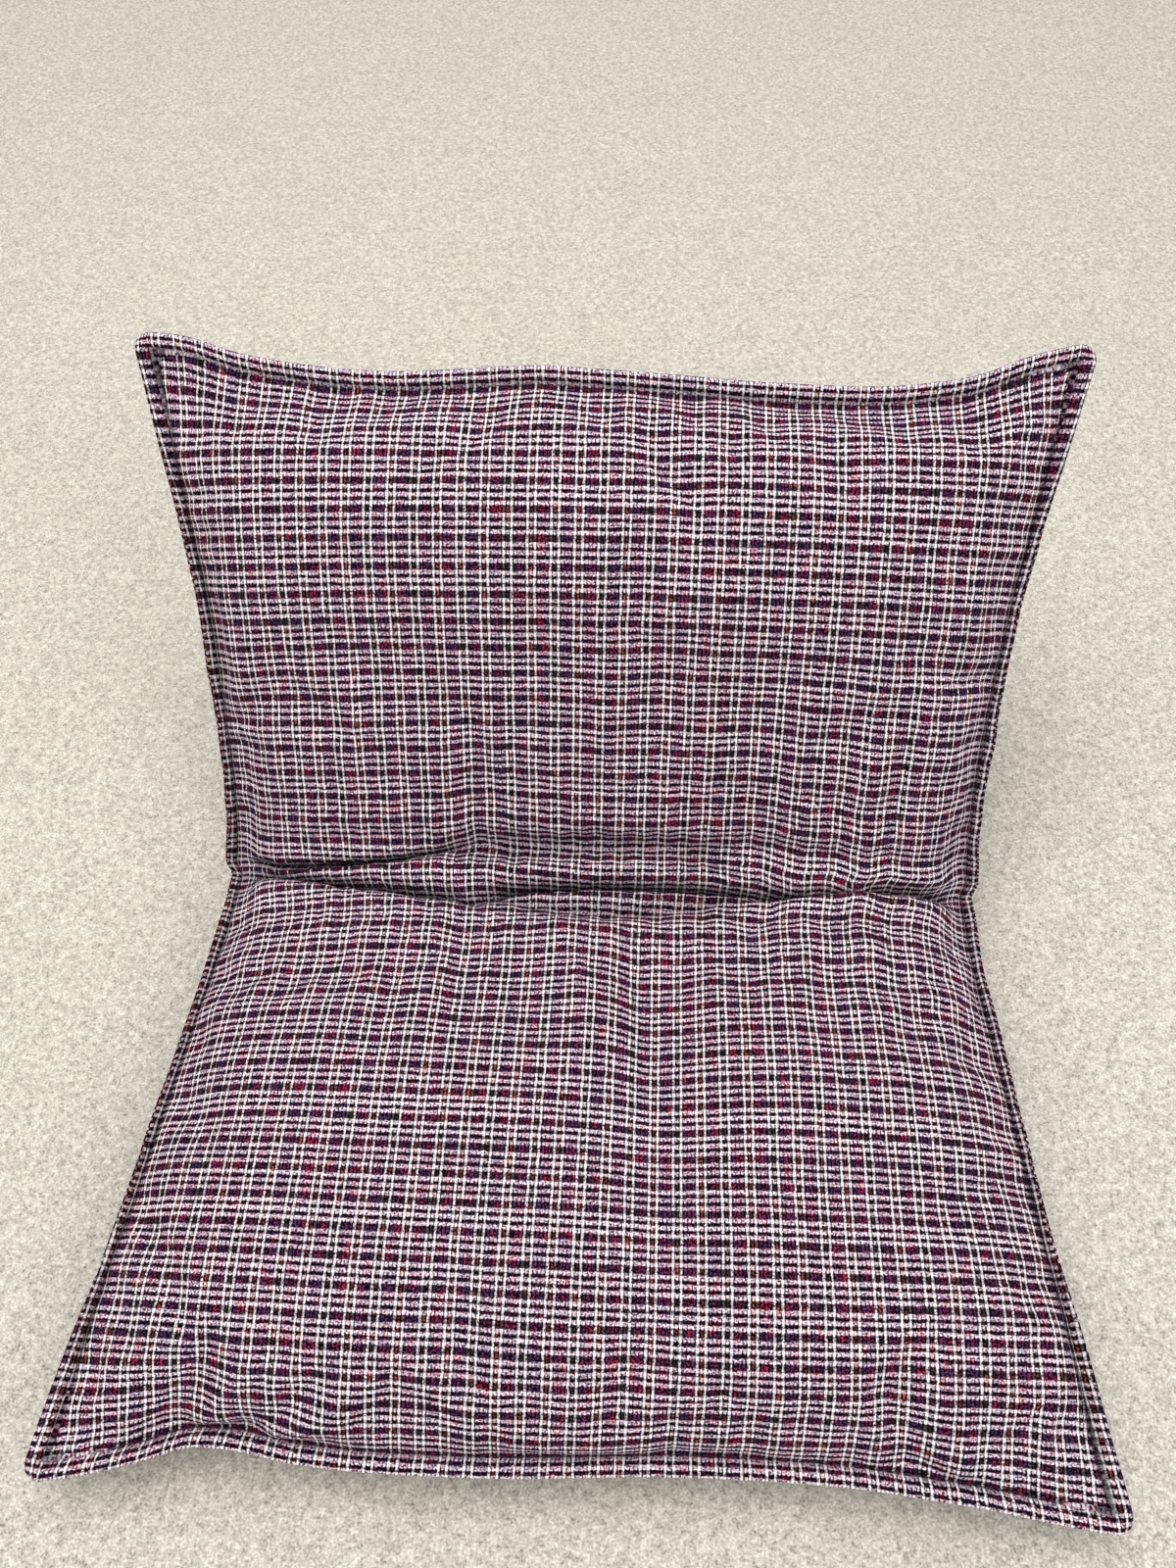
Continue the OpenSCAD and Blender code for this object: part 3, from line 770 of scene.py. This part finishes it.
class Material:
    """A material with its tree's helpers: noise, hashes, mixes and the final shader."""

    def __init__(self, name):
        self.material = bpy.data.materials.new(name)
        self.material.use_nodes = True
        self.tree = self.material.node_tree
        self.shader = self.tree.nodes["Principled BSDF"]

    def node(self, kind):
        return self.tree.nodes.new(kind)

    def wire(self, socket):
        return Wire(self.tree, socket)

    def split(self, vector):
        node = self.node("ShaderNodeSeparateXYZ")
        self.tree.links.new(vector, node.inputs[0])
        return [self.wire(node.outputs[i]) for i in range(3)]

    def vector(self, x, y, z=0.0):
        node = self.node("ShaderNodeCombineXYZ")
        for place, value in enumerate((x, y, z)):
            plug(self.tree, node.inputs[place], value)
        return self.wire(node.outputs[0])

    def cloth(self):
        """(across, along) in the flat cloth, in millimetres."""
        node = self.node("ShaderNodeUVMap")
        node.uv_map = "Fabric"
        across, lengthwise, _ = self.split(node.outputs[0])
        return across * (1 / MM), lengthwise * (1 / MM)

    def hollow(self):
        """Painted shade, 0 to 1, in the seams' grooves, the creases and on the side flanges."""
        node = self.node("ShaderNodeAttribute")
        node.attribute_name = "PaintedShade"
        return self.wire(node.outputs["Fac"])

    def place(self):
        """(x, y, z) on the piece at rest, in millimetres."""
        node = self.node("ShaderNodeTexCoord")
        return [axis * (1 / MM) for axis in self.split(node.outputs["Object"])]

    def noise(self, vector, scale=1.0, detail=2.0, rough=0.5):
        node = self.node("ShaderNodeTexNoise")
        plug(self.tree, node.inputs["Vector"], vector)
        node.inputs["Scale"].default_value = scale
        node.inputs["Detail"].default_value = detail
        node.inputs["Roughness"].default_value = rough
        return self.wire(node.outputs[0])

    def hash(self, x, y, seed=0.0):
        """A random number from 0 to 1 for each pair of whole numbers."""
        node = self.node("ShaderNodeTexWhiteNoise")
        node.noise_dimensions = "3D"
        plug(self.tree, node.inputs["Vector"], self.vector(x, y, seed))
        return self.wire(node.outputs["Value"])

    def mix(self, share, first, second):
        node = self.node("ShaderNodeMix")
        node.data_type = "RGBA"
        node.clamp_factor = True
        plug(self.tree, node.inputs[0], share)
        plug(self.tree, node.inputs[6], first)
        plug(self.tree, node.inputs[7], second)
        return self.wire(node.outputs[2])

    def mix_value(self, share, first, second):
        """first where share is 0, second where it is 1."""
        return first * share.inverse() + second * share

    def ramp(self, value, stops):
        node = self.node("ShaderNodeValToRGB")
        plug(self.tree, node.inputs[0], value)
        elements = node.color_ramp.elements
        while len(elements) < len(stops):
            elements.new(0.5)
        for element, (position, colour) in zip(elements, stops):
            element.position = position
            element.color = (*colour, 1.0)
        return self.wire(node.outputs[0])

    def bump(self, height, distance, strength=1.0):
        node = self.node("ShaderNodeBump")
        node.inputs["Strength"].default_value = strength
        node.inputs["Distance"].default_value = distance
        plug(self.tree, node.inputs["Height"], height)
        self.tree.links.new(node.outputs[0], self.shader.inputs["Normal"])

    def set(self, **values):
        """Sets the shader's sockets; an underscore in a name stands for a space."""
        for name, value in values.items():
            plug(self.tree, self.shader.inputs[name.replace("_", " ")], value)
        return self.material


def linear(red, green, blue):
    """A shader colour from one given as it looks on screen, 0 to 1."""
    return tuple(c / 12.92 if c <= 0.04045 else ((c + 0.055) / 1.055) ** 2.4 for c in (red, green, blue))


# One repeat of the weave, in millimetres, and its light rows as shares of the weft's repeat
WARP_REPEAT = 15.85
WEFT_REPEAT = 16.75
THICK_ROW = 0.26
LIGHT_ROWS = [(0.265, 0.405), (0.55, 0.70), (0.84, 0.985)]
ROW_EDGE = 0.035  # how soft the rows' edges are


def tweed_material():
    """Woven check of six warp yarns, the first and third of them white, and in each repeat of the
    weft one thick and two thin dark rows with white or mottled rows between them."""
    m = Material("tweed")
    across, lengthwise = m.cloth()
    slow = m.noise(m.vector(across, lengthwise), 0.035, 2.0)
    wobble_u = m.noise(m.vector(across * 0.16, lengthwise * 0.09), 1.0, 2.0)
    wobble_v = m.noise(m.vector(across * 0.08, lengthwise * 0.2, 7.0), 1.0, 2.0)
    hair_u = m.noise(m.vector(across * 1.1, lengthwise * 0.9), 1.0, 2.0, 0.6)
    hair_v = m.noise(m.vector(across * 0.8, lengthwise * 1.3, 9.0), 1.0, 2.0, 0.6)
    grain = m.noise(m.vector(across * 1.5, lengthwise * 1.5, 4.0), 1.0, 1.0, 0.6)
    fleck = m.noise(m.vector(across * 0.75, lengthwise * 0.75, 15.0), 1.0, 1.0, 0.5)

    # Warp yarns: 0 and 2 are white, 1 is the narrow block, 3 to 5 the wide one
    u = across + (wobble_u - 0.5) * 1.4 + (hair_u - 0.5) * 1.8
    warp = u / WARP_REPEAT
    warp_index = warp.floor()
    a = warp.fraction() * 6.0
    yarn = warp_index * 6.0 + a.floor()
    yarn_round = a.fraction().dome(0.0, 1.0)
    red_pair = (warp_index * 0.5).fraction().above(0.25)
    first_line = a.band(0.21, 0.79, 0.22)
    second_line = a.band(2.19, 2.77, 0.22)
    narrow = a.band(1.0, 2.0, 0.1)

    # Weft rows, which bow a little over each yarn
    bow = yarn_round * 0.7 + m.hash(yarn, 7.0) * 0.2
    v = lengthwise + (wobble_v - 0.5) * 1.4 + (hair_v - 0.5) * 1.6 + bow
    weft = v / WEFT_REPEAT
    weft_index = weft.floor()
    b = weft.fraction()
    first, second, third = (b.band(low, high, ROW_EDGE) for low, high in LIGHT_ROWS)
    light = first.highest(second).highest(third)
    thick_dark = b.band(-1.0, THICK_ROW, ROW_EDGE)
    group = (b * 3.4).floor()
    row = weft_index * 4.0 + group
    row_round = (b * 5.9).fraction().dome(-0.1, 1.1)

    # Colours of the yarns in the blocks, changing slowly along each
    hue = (a - 3.0) / 3.0 + (m.hash(yarn, 3.0) - 0.5) * 0.45
    wide_colour = m.ramp(hue, [
        (0.0, linear(0.18, 0.18, 0.19)), (0.16, linear(0.33, 0.20, 0.37)), (0.34, linear(0.44, 0.20, 0.39)),
        (0.52, linear(0.54, 0.17, 0.31)), (0.68, linear(0.42, 0.19, 0.37)), (0.84, linear(0.31, 0.19, 0.35)),
        (1.0, linear(0.16, 0.17, 0.17))])
    bluer = m.hash(warp_index, weft_index, 9.0).above(0.6)
    wide_colour = m.mix(bluer * 0.55, wide_colour, linear(0.29, 0.24, 0.41))
    narrow_colour = m.mix(red_pair, linear(0.24, 0.22, 0.20), linear(0.48, 0.22, 0.19))
    block = m.mix(narrow, wide_colour, narrow_colour)
    black = linear(0.02, 0.0, 0.02)

    # Slubs of crimson or salmon, a few rows long, in some of the blocks
    slub_noise = m.noise(m.vector(yarn * 1.7, v * 0.085, 21.0), 1.0, 1.0)
    slub = slub_noise.band(0.60, 3.0, 0.10)
    crimson = m.mix(narrow, linear(0.70, 0.14, 0.28), linear(0.74, 0.34, 0.25))
    block = m.mix(slub * 0.85, block, crimson)

    # Dark rows: each yarn shows as a coloured bead with black round it, partly the yarns' own dark mottle and
    # partly painted shade between yarns and rows
    gap = yarn_round.inverse() * 1.7 + (0.54 - fleck) * 7.0 + row_round.inverse() * 0.4
    thin_row = thick_dark.inverse()
    dark = m.mix(gap + thin_row * 0.5 + m.hash(yarn, row, 5.0) * 0.3, block, black)
    dark = m.mix((grain - 0.62) * 4.0, dark, linear(0.62, 0.46, 0.58))

    # Light rows: white to dusky, tinted by the block, with a painted highlight on each yarn's crown and a
    # darker dip between yarns, partly dark mottle and partly painted shade
    tint = m.mix(0.45, block, linear(0.76, 0.64, 0.72))
    whiteness = m.hash(weft_index, group, 2.0) * 0.3 + 0.16
    slanting = m.noise(m.vector(u * 0.6 + v * 0.55, v * 0.8 - u * 0.3, 3.0), 1.0, 2.0, 0.6)
    whiter = whiteness + (slanting - 0.5) * 3.0 + (grain - 0.5) * 1.5 + yarn_round * 0.2
    marl = m.mix(whiter, tint, linear(1.0, 0.95, 0.985))
    marl = m.mix(yarn_round.inverse() * 0.9 + (0.51 - fleck) * 5.0, marl, m.mix(0.5, block, black))
    colour = m.mix(light, dark, marl)

    # Of each pair of white lines, one runs on and the other dips under the thick rows
    white = m.mix((0.50 - grain) * 2.2, linear(1.0, 0.985, 0.995), linear(0.50, 0.42, 0.48))
    # Painted shadow beside the white lines across the dark rows
    beside_line_shadow = a.band(-1.0, 1.25, 0.25).highest(a.band(1.75, 3.2, 0.25))
    colour = m.mix(beside_line_shadow * light.inverse() * 0.6, colour, black)
    dipping = m.mix_value(red_pair, first_line, second_line)
    running = m.mix_value(red_pair, second_line, first_line)
    dip = thick_dark * m.hash(warp_index, weft_index, 4.0).above(0.7)
    line_share = running.highest(dipping * (dip * 0.85).inverse())
    sunk = light.inverse() * ((0.60 - fleck) * 3.0 + 0.30)
    line_white = m.mix(sunk, white, linear(0.34, 0.26, 0.32))
    colour = m.mix(line_share, colour, line_white)
    colour = m.mix((slow - 0.5) * 0.5, colour, linear(0.25, 0.12, 0.22))
    # Painted shade towards black in the seams' grooves, the creases and on the side flanges
    colour = m.mix(m.hollow() * (hair_v * 0.6 + 0.7), colour, black)

    # Relief: round threads, the white lines highest
    height = yarn_round * 0.5 + row_round * 0.35 + grain * 0.6 + light * 0.25 + line_share * 0.5
    m.bump(height, 0.0007, 0.9)
    return m.set(Base_Color=colour, Roughness=0.95, Specular_IOR_Level=0.02, Sheen_Weight=0.005,
                 Sheen_Roughness=0.6)


def thread_material():
    """Dark twisted polyester thread."""
    m = Material("thread")
    x, y, z = m.place()
    strand = ((x + y * 0.8 + z * 0.6) * 1.6).fraction().dome(0.0, 1.0)
    colour = m.mix(strand, linear(0.10, 0.04, 0.09), linear(0.26, 0.13, 0.22))
    m.bump(strand, 0.0002)
    return m.set(Base_Color=colour, Roughness=0.55, Sheen_Weight=0.1)


def ticking_material():
    """Plain off-white cotton, tightly woven."""
    m = Material("ticking")
    across, lengthwise = m.cloth()
    warp = (across / 0.6).fraction().dome(0.0, 1.0)
    weft = (lengthwise / 0.6).fraction().dome(0.0, 1.0)
    uneven = m.noise(m.vector(across * 0.05, lengthwise * 0.6), 1.0, 3.0)
    colour = m.mix(uneven, linear(0.86, 0.84, 0.78), linear(0.94, 0.92, 0.87))
    m.bump(warp * 0.5 + weft * 0.5, 0.0002)
    return m.set(Base_Color=colour, Roughness=0.85, Sheen_Weight=0.1)


def filling_material():
    """White hollow-fibre wadding."""
    m = Material("filling")
    x, y, z = m.place()
    fibres = m.noise(m.vector(x * 0.3, y * 1.1, z * 0.5), 1.0, 6.0, 0.75)
    colour = m.mix(fibres, linear(0.88, 0.88, 0.86), linear(0.99, 0.99, 0.98))
    m.bump(fibres, 0.002)
    return m.set(Base_Color=colour, Roughness=1.0, Sheen_Weight=0.25)


def tape_material():
    """Dark plum zip tape with a fine herringbone."""
    m = Material("zip_tape")
    x, _, z = m.place()
    up = z * 1.35
    zigzag = ((up / 3.0).fraction() - 0.5).math("ABSOLUTE") * 4.0
    bone = ((x + zigzag) / 0.9).fraction().dome(0.0, 1.0)
    colour = m.mix(bone, linear(0.14, 0.07, 0.12), linear(0.25, 0.14, 0.22))
    m.bump(bone, 0.0002)
    return m.set(Base_Color=colour, Roughness=0.75, Sheen_Weight=0.1)


def teeth_material():
    """Moulded dark resin teeth, rubbed brighter in patches."""
    m = Material("zip_teeth")
    x, y, z = m.place()
    rubbed = m.noise(m.vector(x * 0.4, y, z), 1.0, 3.0)
    colour = m.mix(rubbed, linear(0.15, 0.08, 0.13), linear(0.30, 0.19, 0.27))
    rough = rubbed * 0.25 + 0.25
    m.bump(m.noise(m.vector(x, y, z), 2.0), 0.0001)
    return m.set(Base_Color=colour, Roughness=rough)


def metal_material():
    """Antique nickel with fine scratches and dull patches."""
    m = Material("zip_metal")
    x, y, z = m.place()
    scratches = m.noise(m.vector(x * 6.0, y * 0.5, z * 0.5), 1.0, 4.0, 0.7)
    dull = m.noise(m.vector(x, y, z), 0.35, 3.0)
    colour = m.mix(dull, linear(0.38, 0.36, 0.35), linear(0.62, 0.60, 0.58))
    m.bump(scratches, 0.00005)
    return m.set(Base_Color=colour, Metallic=1.0, Roughness=dull * 0.3 + scratches * 0.15 + 0.15)


def floor_material():
    """Pale warm grey, speckled darker and lighter like a fine short carpet."""
    m = Material("floor")
    x, y, z = m.place()
    grain = m.noise(m.vector(x, y, z), 0.62, 2.0, 0.6)
    speck = m.noise(m.vector(x, y, z + 40.0), 0.26, 2.0, 0.6)
    cloud = m.noise(m.vector(x, y, z), 0.006, 2.0)
    colour = m.ramp(grain * 0.55 + speck * 0.45, [
        (0.34, linear(0.53, 0.52, 0.487)), (0.44, linear(0.688, 0.68, 0.64)),
        (0.53, linear(0.77, 0.757, 0.72)), (0.64, linear(0.865, 0.855, 0.82))])
    colour = m.mix((cloud - 0.5) * 0.4, colour, linear(0.68, 0.67, 0.62))
    m.bump(grain, 0.0008, 0.5)
    return m.set(Base_Color=colour, Roughness=0.85)


MATERIALS = {
    "tweed_cover": tweed_material(),
    "topstitch_thread": thread_material(),
    "ticking": ticking_material(),
    "filling": filling_material(),
    "zip_tape": tape_material(),
    "zip_teeth": teeth_material(),
    "zip_metal": metal_material(),
}


# --- Camera, floor and light ---

def add_camera():
    data = bpy.data.cameras.new("camera")
    data.lens = 27
    data.sensor_width = 36
    camera = bpy.data.objects.new("camera", data)
    bpy.context.scene.collection.objects.link(camera)
    down, yaw, roll = math.radians(57.8), math.radians(-4.4), math.radians(2.1)
    ahead = Vector((math.sin(yaw) * math.cos(down), math.cos(yaw) * math.cos(down), -math.sin(down)))
    level = Vector((math.cos(yaw), -math.sin(yaw), 0))
    below = ahead.cross(level)
    right = level * math.cos(roll) + below * math.sin(roll)
    up = level * math.sin(roll) - below * math.cos(roll)
    turn = Matrix((right, up, -ahead)).transposed().to_4x4()
    camera.matrix_world = Matrix.Translation(Vector((0.0278, -0.34245, 0.8505))) @ turn
    data.clip_start = 0.01
    bpy.context.scene.camera = camera


def add_floor():
    half = 12.0
    corners = np.array([(-half, -half, 0), (half, -half, 0), (half, half, 0), (-half, half, 0)])
    floor = make_object("floor", corners, [(0, 1, 2, 3)], floor_material())


def add_area_light(name, place, target, size, power, colour):
    data = bpy.data.lights.new(name, "AREA")
    data.shape = "DISK"
    data.size = size
    data.energy = power
    data.color = colour
    light = bpy.data.objects.new(name, data)
    bpy.context.scene.collection.objects.link(light)
    light.location = place
    aim = Vector(target) - Vector(place)
    light.rotation_euler = aim.to_track_quat("-Z", "Y").to_euler()


def add_light():
    world = bpy.data.worlds.new("studio")
    world.use_nodes = True
    background = world.node_tree.nodes["Background"]
    background.inputs["Color"].default_value = (1.0, 0.98, 0.96, 1)
    background.inputs["Strength"].default_value = 0.80
    bpy.context.scene.world = world
    add_area_light("ceiling", (-0.4, 0.32, 2.6), (0, 0.05, 0.1), 1.8, 34, (1, 0.98, 0.95))
    add_area_light("window", (1.6, -1.2, 1.9), (0, 0, 0.1), 1.2, 12, (0.95, 0.97, 1))
    view = bpy.context.scene.view_settings
    view.view_transform = "Standard"
    view.exposure = 0.26
    view.gamma = 0.86


# --- The cover ---

def shaped_panel(side):
    """The panel's outer surface between the stitch lines, and its flat cloth coordinates with a third channel
    of painted shade.
    """
    base = edge_insets(pillow_surface(side))
    x, f = base[..., 0], SEAM_ROWS
    normal = grid_normals(base, side)
    lengthwise = np.gradient(base, axis=0)
    lengthwise = lengthwise / np.maximum(np.linalg.norm(lengthwise, axis=-1, keepdims=True), 1e-9)
    rim = np.minimum(stitch_half(f)[:, None] - abs(x), from_corner(f)[:, None])
    rim = np.where(abs(ACROSS)[None, :] < 1, np.maximum(rim, 0.5), 0)
    rim[0] = rim[-1] = 0
    inside = smoothstep(rim / 14)
    if side > 0:
        _, arc = centre_line(side)
        fold_arc = np.interp(SEAT_SEAM, f, arc)
        push, shift, crease_shade = fold_creases(x, (arc - fold_arc)[:, None] + 0 * x)
        push, shift = push * smoothstep(rim / 22), shift * smoothstep(rim / 22)
        extra = swallowed(base, base + push[..., None] * normal + shift[..., None] * lengthwise)
        push = push + undulation(x, f, 41) * inside
        for start, end, width, height in FRONT_RIPPLES:
            push = push + ripple(x, f[:, None], start, end, width, height) * smoothstep(rim / 8)
    else:
        resting = window(f, 90, SEAM_TOTAL - 60, 60)
        push = undulation(x, f, 51) * inside * (1 - resting)[:, None] * 0.8
        push = np.minimum(push, REAR_LIFT)
        shift = extra = crease_shade = np.zeros_like(x)
    push = push + puckers(x, f, 61 if side > 0 else 71) * (1 if side > 0 else 0.7)
    creased = base + push[..., None] * normal + shift[..., None] * lengthwise
    creased[..., 2] = np.maximum(creased[..., 2], 0)
    cloth = fabric_coordinates(base)
    cloth[..., 1] += extra
    # Painted shade along the stitch lines' grooves, lighter at the front and top, and in the fold's creases
    at_end = from_corner(f)[:, None] < SEAM_SHADE
    uneven = 0.8 + 0.2 * smooth_noise(x / 34, f[:, None] / 34, 81)
    groove = np.where(at_end & (abs(ACROSS)[None, :] < 0.97), END_GROOVE_SHADE, SIDE_GROOVE_SHADE)
    groove = groove * uneven * bump(rim, SEAM_SHADE)
    return creased, np.concatenate([cloth, np.maximum(crease_shade, groove)[..., None]], axis=-1)


def slot_shift(x):
    """How far the cover's edge stands back from the zip's middle, at x."""
    return ZIP_SLOT_HALF * (1 - smoothstep((abs(x) - ZIP_HALF) / (ZIP_CLOSED - ZIP_HALF)))


def rear_parts(points, cloth):
    """The rear panel's lower and upper parts, whose edges stand apart over the zip."""
    count = len(FLANGE_AT)
    split = count + ZIP_ROW
    f = np.concatenate([np.zeros(count), SEAM_ROWS, np.full(count, SEAM_TOTAL)])
    from_zip = f - SEAT_SEAM - ZIP_PLACE
    tangent, normal = (v[np.clip(np.arange(len(f)) - count, 0, ROWS)] for v in frames(SEAM_ROWS))
    reach = 34
    parts = []
    for direction, rows in ((-1, slice(0, split + 1)), (1, slice(split, None))):
        near = smoothstep(1 - abs(from_zip[rows]) / reach)
        shift = direction * near[:, None] * slot_shift(points[rows][..., 0])
        tucked = 0.7 * np.exp(-abs(from_zip[rows]) / 1.2)[:, None] + 0 * shift
        seam = 0.35 * bump(abs(from_zip[rows]) - 9, 1.6)[:, None] * (abs(points[rows][..., 0]) < 250)
        moved = (points[rows] + shift[..., None] * tangent[rows][:, None, :]
                 + (tucked + seam)[..., None] * normal[rows][:, None, :])
        parts.append((moved, cloth[rows] + np.stack([0 * shift, shift, 0 * shift], axis=-1)))
    return parts


def blend_over_fold(piece):
    """Bakes the piece's transform into its mesh."""
    reach = 0.078
    direction = Vector((0, math.cos(LEAN / 2), math.sin(LEAN / 2)))
    hinge - direction * reach
    hinge + direction * reach
    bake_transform(piece)


def stitch_objects(name, points, side, material):
    """Topstitches along a closed line, each a small rounded bead of thread lying in the cloth."""
    closed = np.concatenate([points, points[:1]])
    arc = arc_length(closed)
    pitch, length, radius = 6.0, 4.6, 0.38
    count = int(arc[-1] / pitch)
    sides, rings = 6, 7
    vertices, faces = [], []
    for k in range(count):
        start = k * arc[-1] / count
        at = start + np.linspace(0, length, rings)
        line = np.stack([np.interp(at, arc, closed[:, i]) for i in range(3)], axis=1)
        sink = 0.55 * (np.linspace(-1, 1, rings) ** 4)
        line[:, 2] -= side * sink
        forward = line[-1] - line[0]
        forward = forward / np.linalg.norm(forward)
        across = np.cross(forward, (0, 0, 1))
        across = across / max(np.linalg.norm(across), 1e-6)
        up = np.cross(across, forward)
        base = len(vertices)
        for r in range(rings):
            size = radius * math.sqrt(max(0.05, 1 - (2 * r / (rings - 1) - 1) ** 6))
            for s in range(sides):
                angle = 2 * math.pi * s / sides
                vertices.append(line[r] + size * (math.cos(angle) * across + math.sin(angle) * up))
        for r in range(rings - 1):
            for s in range(sides):
                a, b = base + r * sides + s, base + r * sides + (s + 1) % sides
                faces.append((a, b, b + sides, a + sides))
        faces.append(tuple(base + s for s in reversed(range(sides))))
        faces.append(tuple(base + (rings - 1) * sides + s for s in range(sides)))
    return make_object(name, to_frame(np.array(vertices)), faces, material)


def stitch_line(panel, side):
    """Points of the stitch line round a panel, just proud of the groove."""
    count = len(FLANGE_AT)
    first, last_row, last_column = count, len(panel) - count - 1, panel.shape[1] - count - 1
    ring = np.concatenate([
        panel[first, first:last_column], panel[first:last_row, last_column],
        panel[last_row, last_column:first:-1], panel[last_row:first:-1, first]])
    normals = grid_normals(panel, side)
    lift = np.concatenate([
        normals[first, first:last_column], normals[first:last_row, last_column],
        normals[last_row, last_column:first:-1], normals[last_row:first:-1, first]])
    return ring + 0.1 * lift


def build_cover():
    front, front_cloth = shaped_panel(1)
    rear, rear_cloth = shaped_panel(-1)
    front, rear = blown_up(front, rear)
    tweed = MATERIALS["tweed_cover"]
    front_full, front_uv = with_flange(front, front_cloth, 1)
    rear_full, rear_uv = with_flange(rear, rear_cloth, -1)
    rear_uv = rear_uv + REAR_WEAVE_SHIFT
    (low, low_uv), (high, high_uv) = rear_parts(rear_full, rear_uv)

    cover_front = shell_object("cover_front", front_full, front_uv, 1, COVER_THICKNESS, tweed)
    cover_low = shell_object("cover_rear_lower", low, low_uv, -1, COVER_THICKNESS, tweed)
    cover_high = shell_object("cover_rear_upper", high, high_uv, -1, COVER_THICKNESS, tweed)
    blend_over_fold(cover_front)
    blend_over_fold(cover_low)
    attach(cover_high, "back")
    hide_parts("seat_top_panel", "fold_front_panel", "back_front_panel")
    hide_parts("seat_bottom_panel", "fold_floor_panel", "fold_rear_panel",
                "back_rear_panel_lower")
    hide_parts("back_rear_panel_upper")

    thread = MATERIALS["topstitch_thread"]
    for name, panel, side in (("topstitch_front", front_full, 1), ("topstitch_rear", rear_full, -1)):
        stitches = stitch_objects(name, stitch_line(panel, side), side, thread)
        blend_over_fold(stitches)
        if side > 0:
            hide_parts("seat_topstitch", "back_topstitch")
    return front, rear


# --- The inner cushion ---

def build_inner(front, rear):
    """A ticking casing and its filling, each lying inside the layer round it."""
    step = 2
    front, rear = front[::step, ::step], rear[::step, ::step]
    middle, half = (front + rear) / 2, (front - rear) / 2
    size = np.linalg.norm(half, axis=-1, keepdims=True)

    def layer(side, gap, margin):
        points = middle + side * half * size / (size + gap)
        points = points[margin:-margin, margin:-margin].copy()
        seam = middle[margin:-margin, margin:-margin]
        points[0], points[-1] = seam[0], seam[-1]
        points[:, 0], points[:, -1] = seam[:, 0], seam[:, -1]
        return points

    def cloth_of(points):
        rows, columns = points.shape[:2]
        i, j = np.meshgrid(np.linspace(-300, 300, columns), np.linspace(0, 760, rows))
        return np.stack([i, j], axis=-1)

    casing_front, casing_rear = layer(1, 3.0, 2), layer(-1, 7.0, 2)
    for name, points, side, nodes in (
            ("inner_casing_front", casing_front, 1, ("seat_insert_upper", "back_insert_front")),
            ("inner_casing_rear", casing_rear, -1, ("seat_insert_lower", "back_insert_rear"))):
        casing = shell_object(name, points, cloth_of(points), side, 0.5, MATERIALS["ticking"])
        blend_over_fold(casing)
        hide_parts(*nodes)

    top, bottom = layer(1, 5.0, 4), layer(-1, 9.0, 4)
    rows, columns = top.shape[:2]
    vertices = to_frame(np.concatenate([top.reshape(-1, 3), bottom.reshape(-1, 3)]))
    faces = np.concatenate([grid_faces(rows, columns), grid_faces(rows, columns, rows * columns, True)])
    filling = make_object("fibre_filling", vertices, faces, MATERIALS["filling"])
    weld = filling.modifiers.new("weld", "WELD")
    weld.merge_threshold = 1e-6
    blend_over_fold(filling)
    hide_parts("seat_filling", "fold_filling", "back_filling")


# --- The zip ---

def dress_zip():
    """The CAD's zip pieces keep their shapes and take finished materials; edges are rounded."""
    finishes = {
        "zip_tape": ("zip_tape_lower", "zip_tape_upper"),
        "zip_teeth": ("zip_teeth_lower", "zip_teeth_upper"),
        "zip_metal": ("zip_bottom_stop", "zip_top_stops", "zip_slider", "zip_pull"),
    }
    for slot, nodes in finishes.items():
        for node in nodes:
            piece = frame["nodes"][node]
            piece.data.materials.clear()
            piece.data.materials.append(MATERIALS[slot])
            if slot != "zip_tape":
                rounding = piece.modifiers.new("rounding", "BEVEL")
                rounding.width = 0.00025
                rounding.segments = 2
                rounding.limit_method = "ANGLE"


add_camera()
add_floor()
add_light()
front_panel, rear_panel = build_cover()
build_inner(front_panel, rear_panel)
dress_zip()
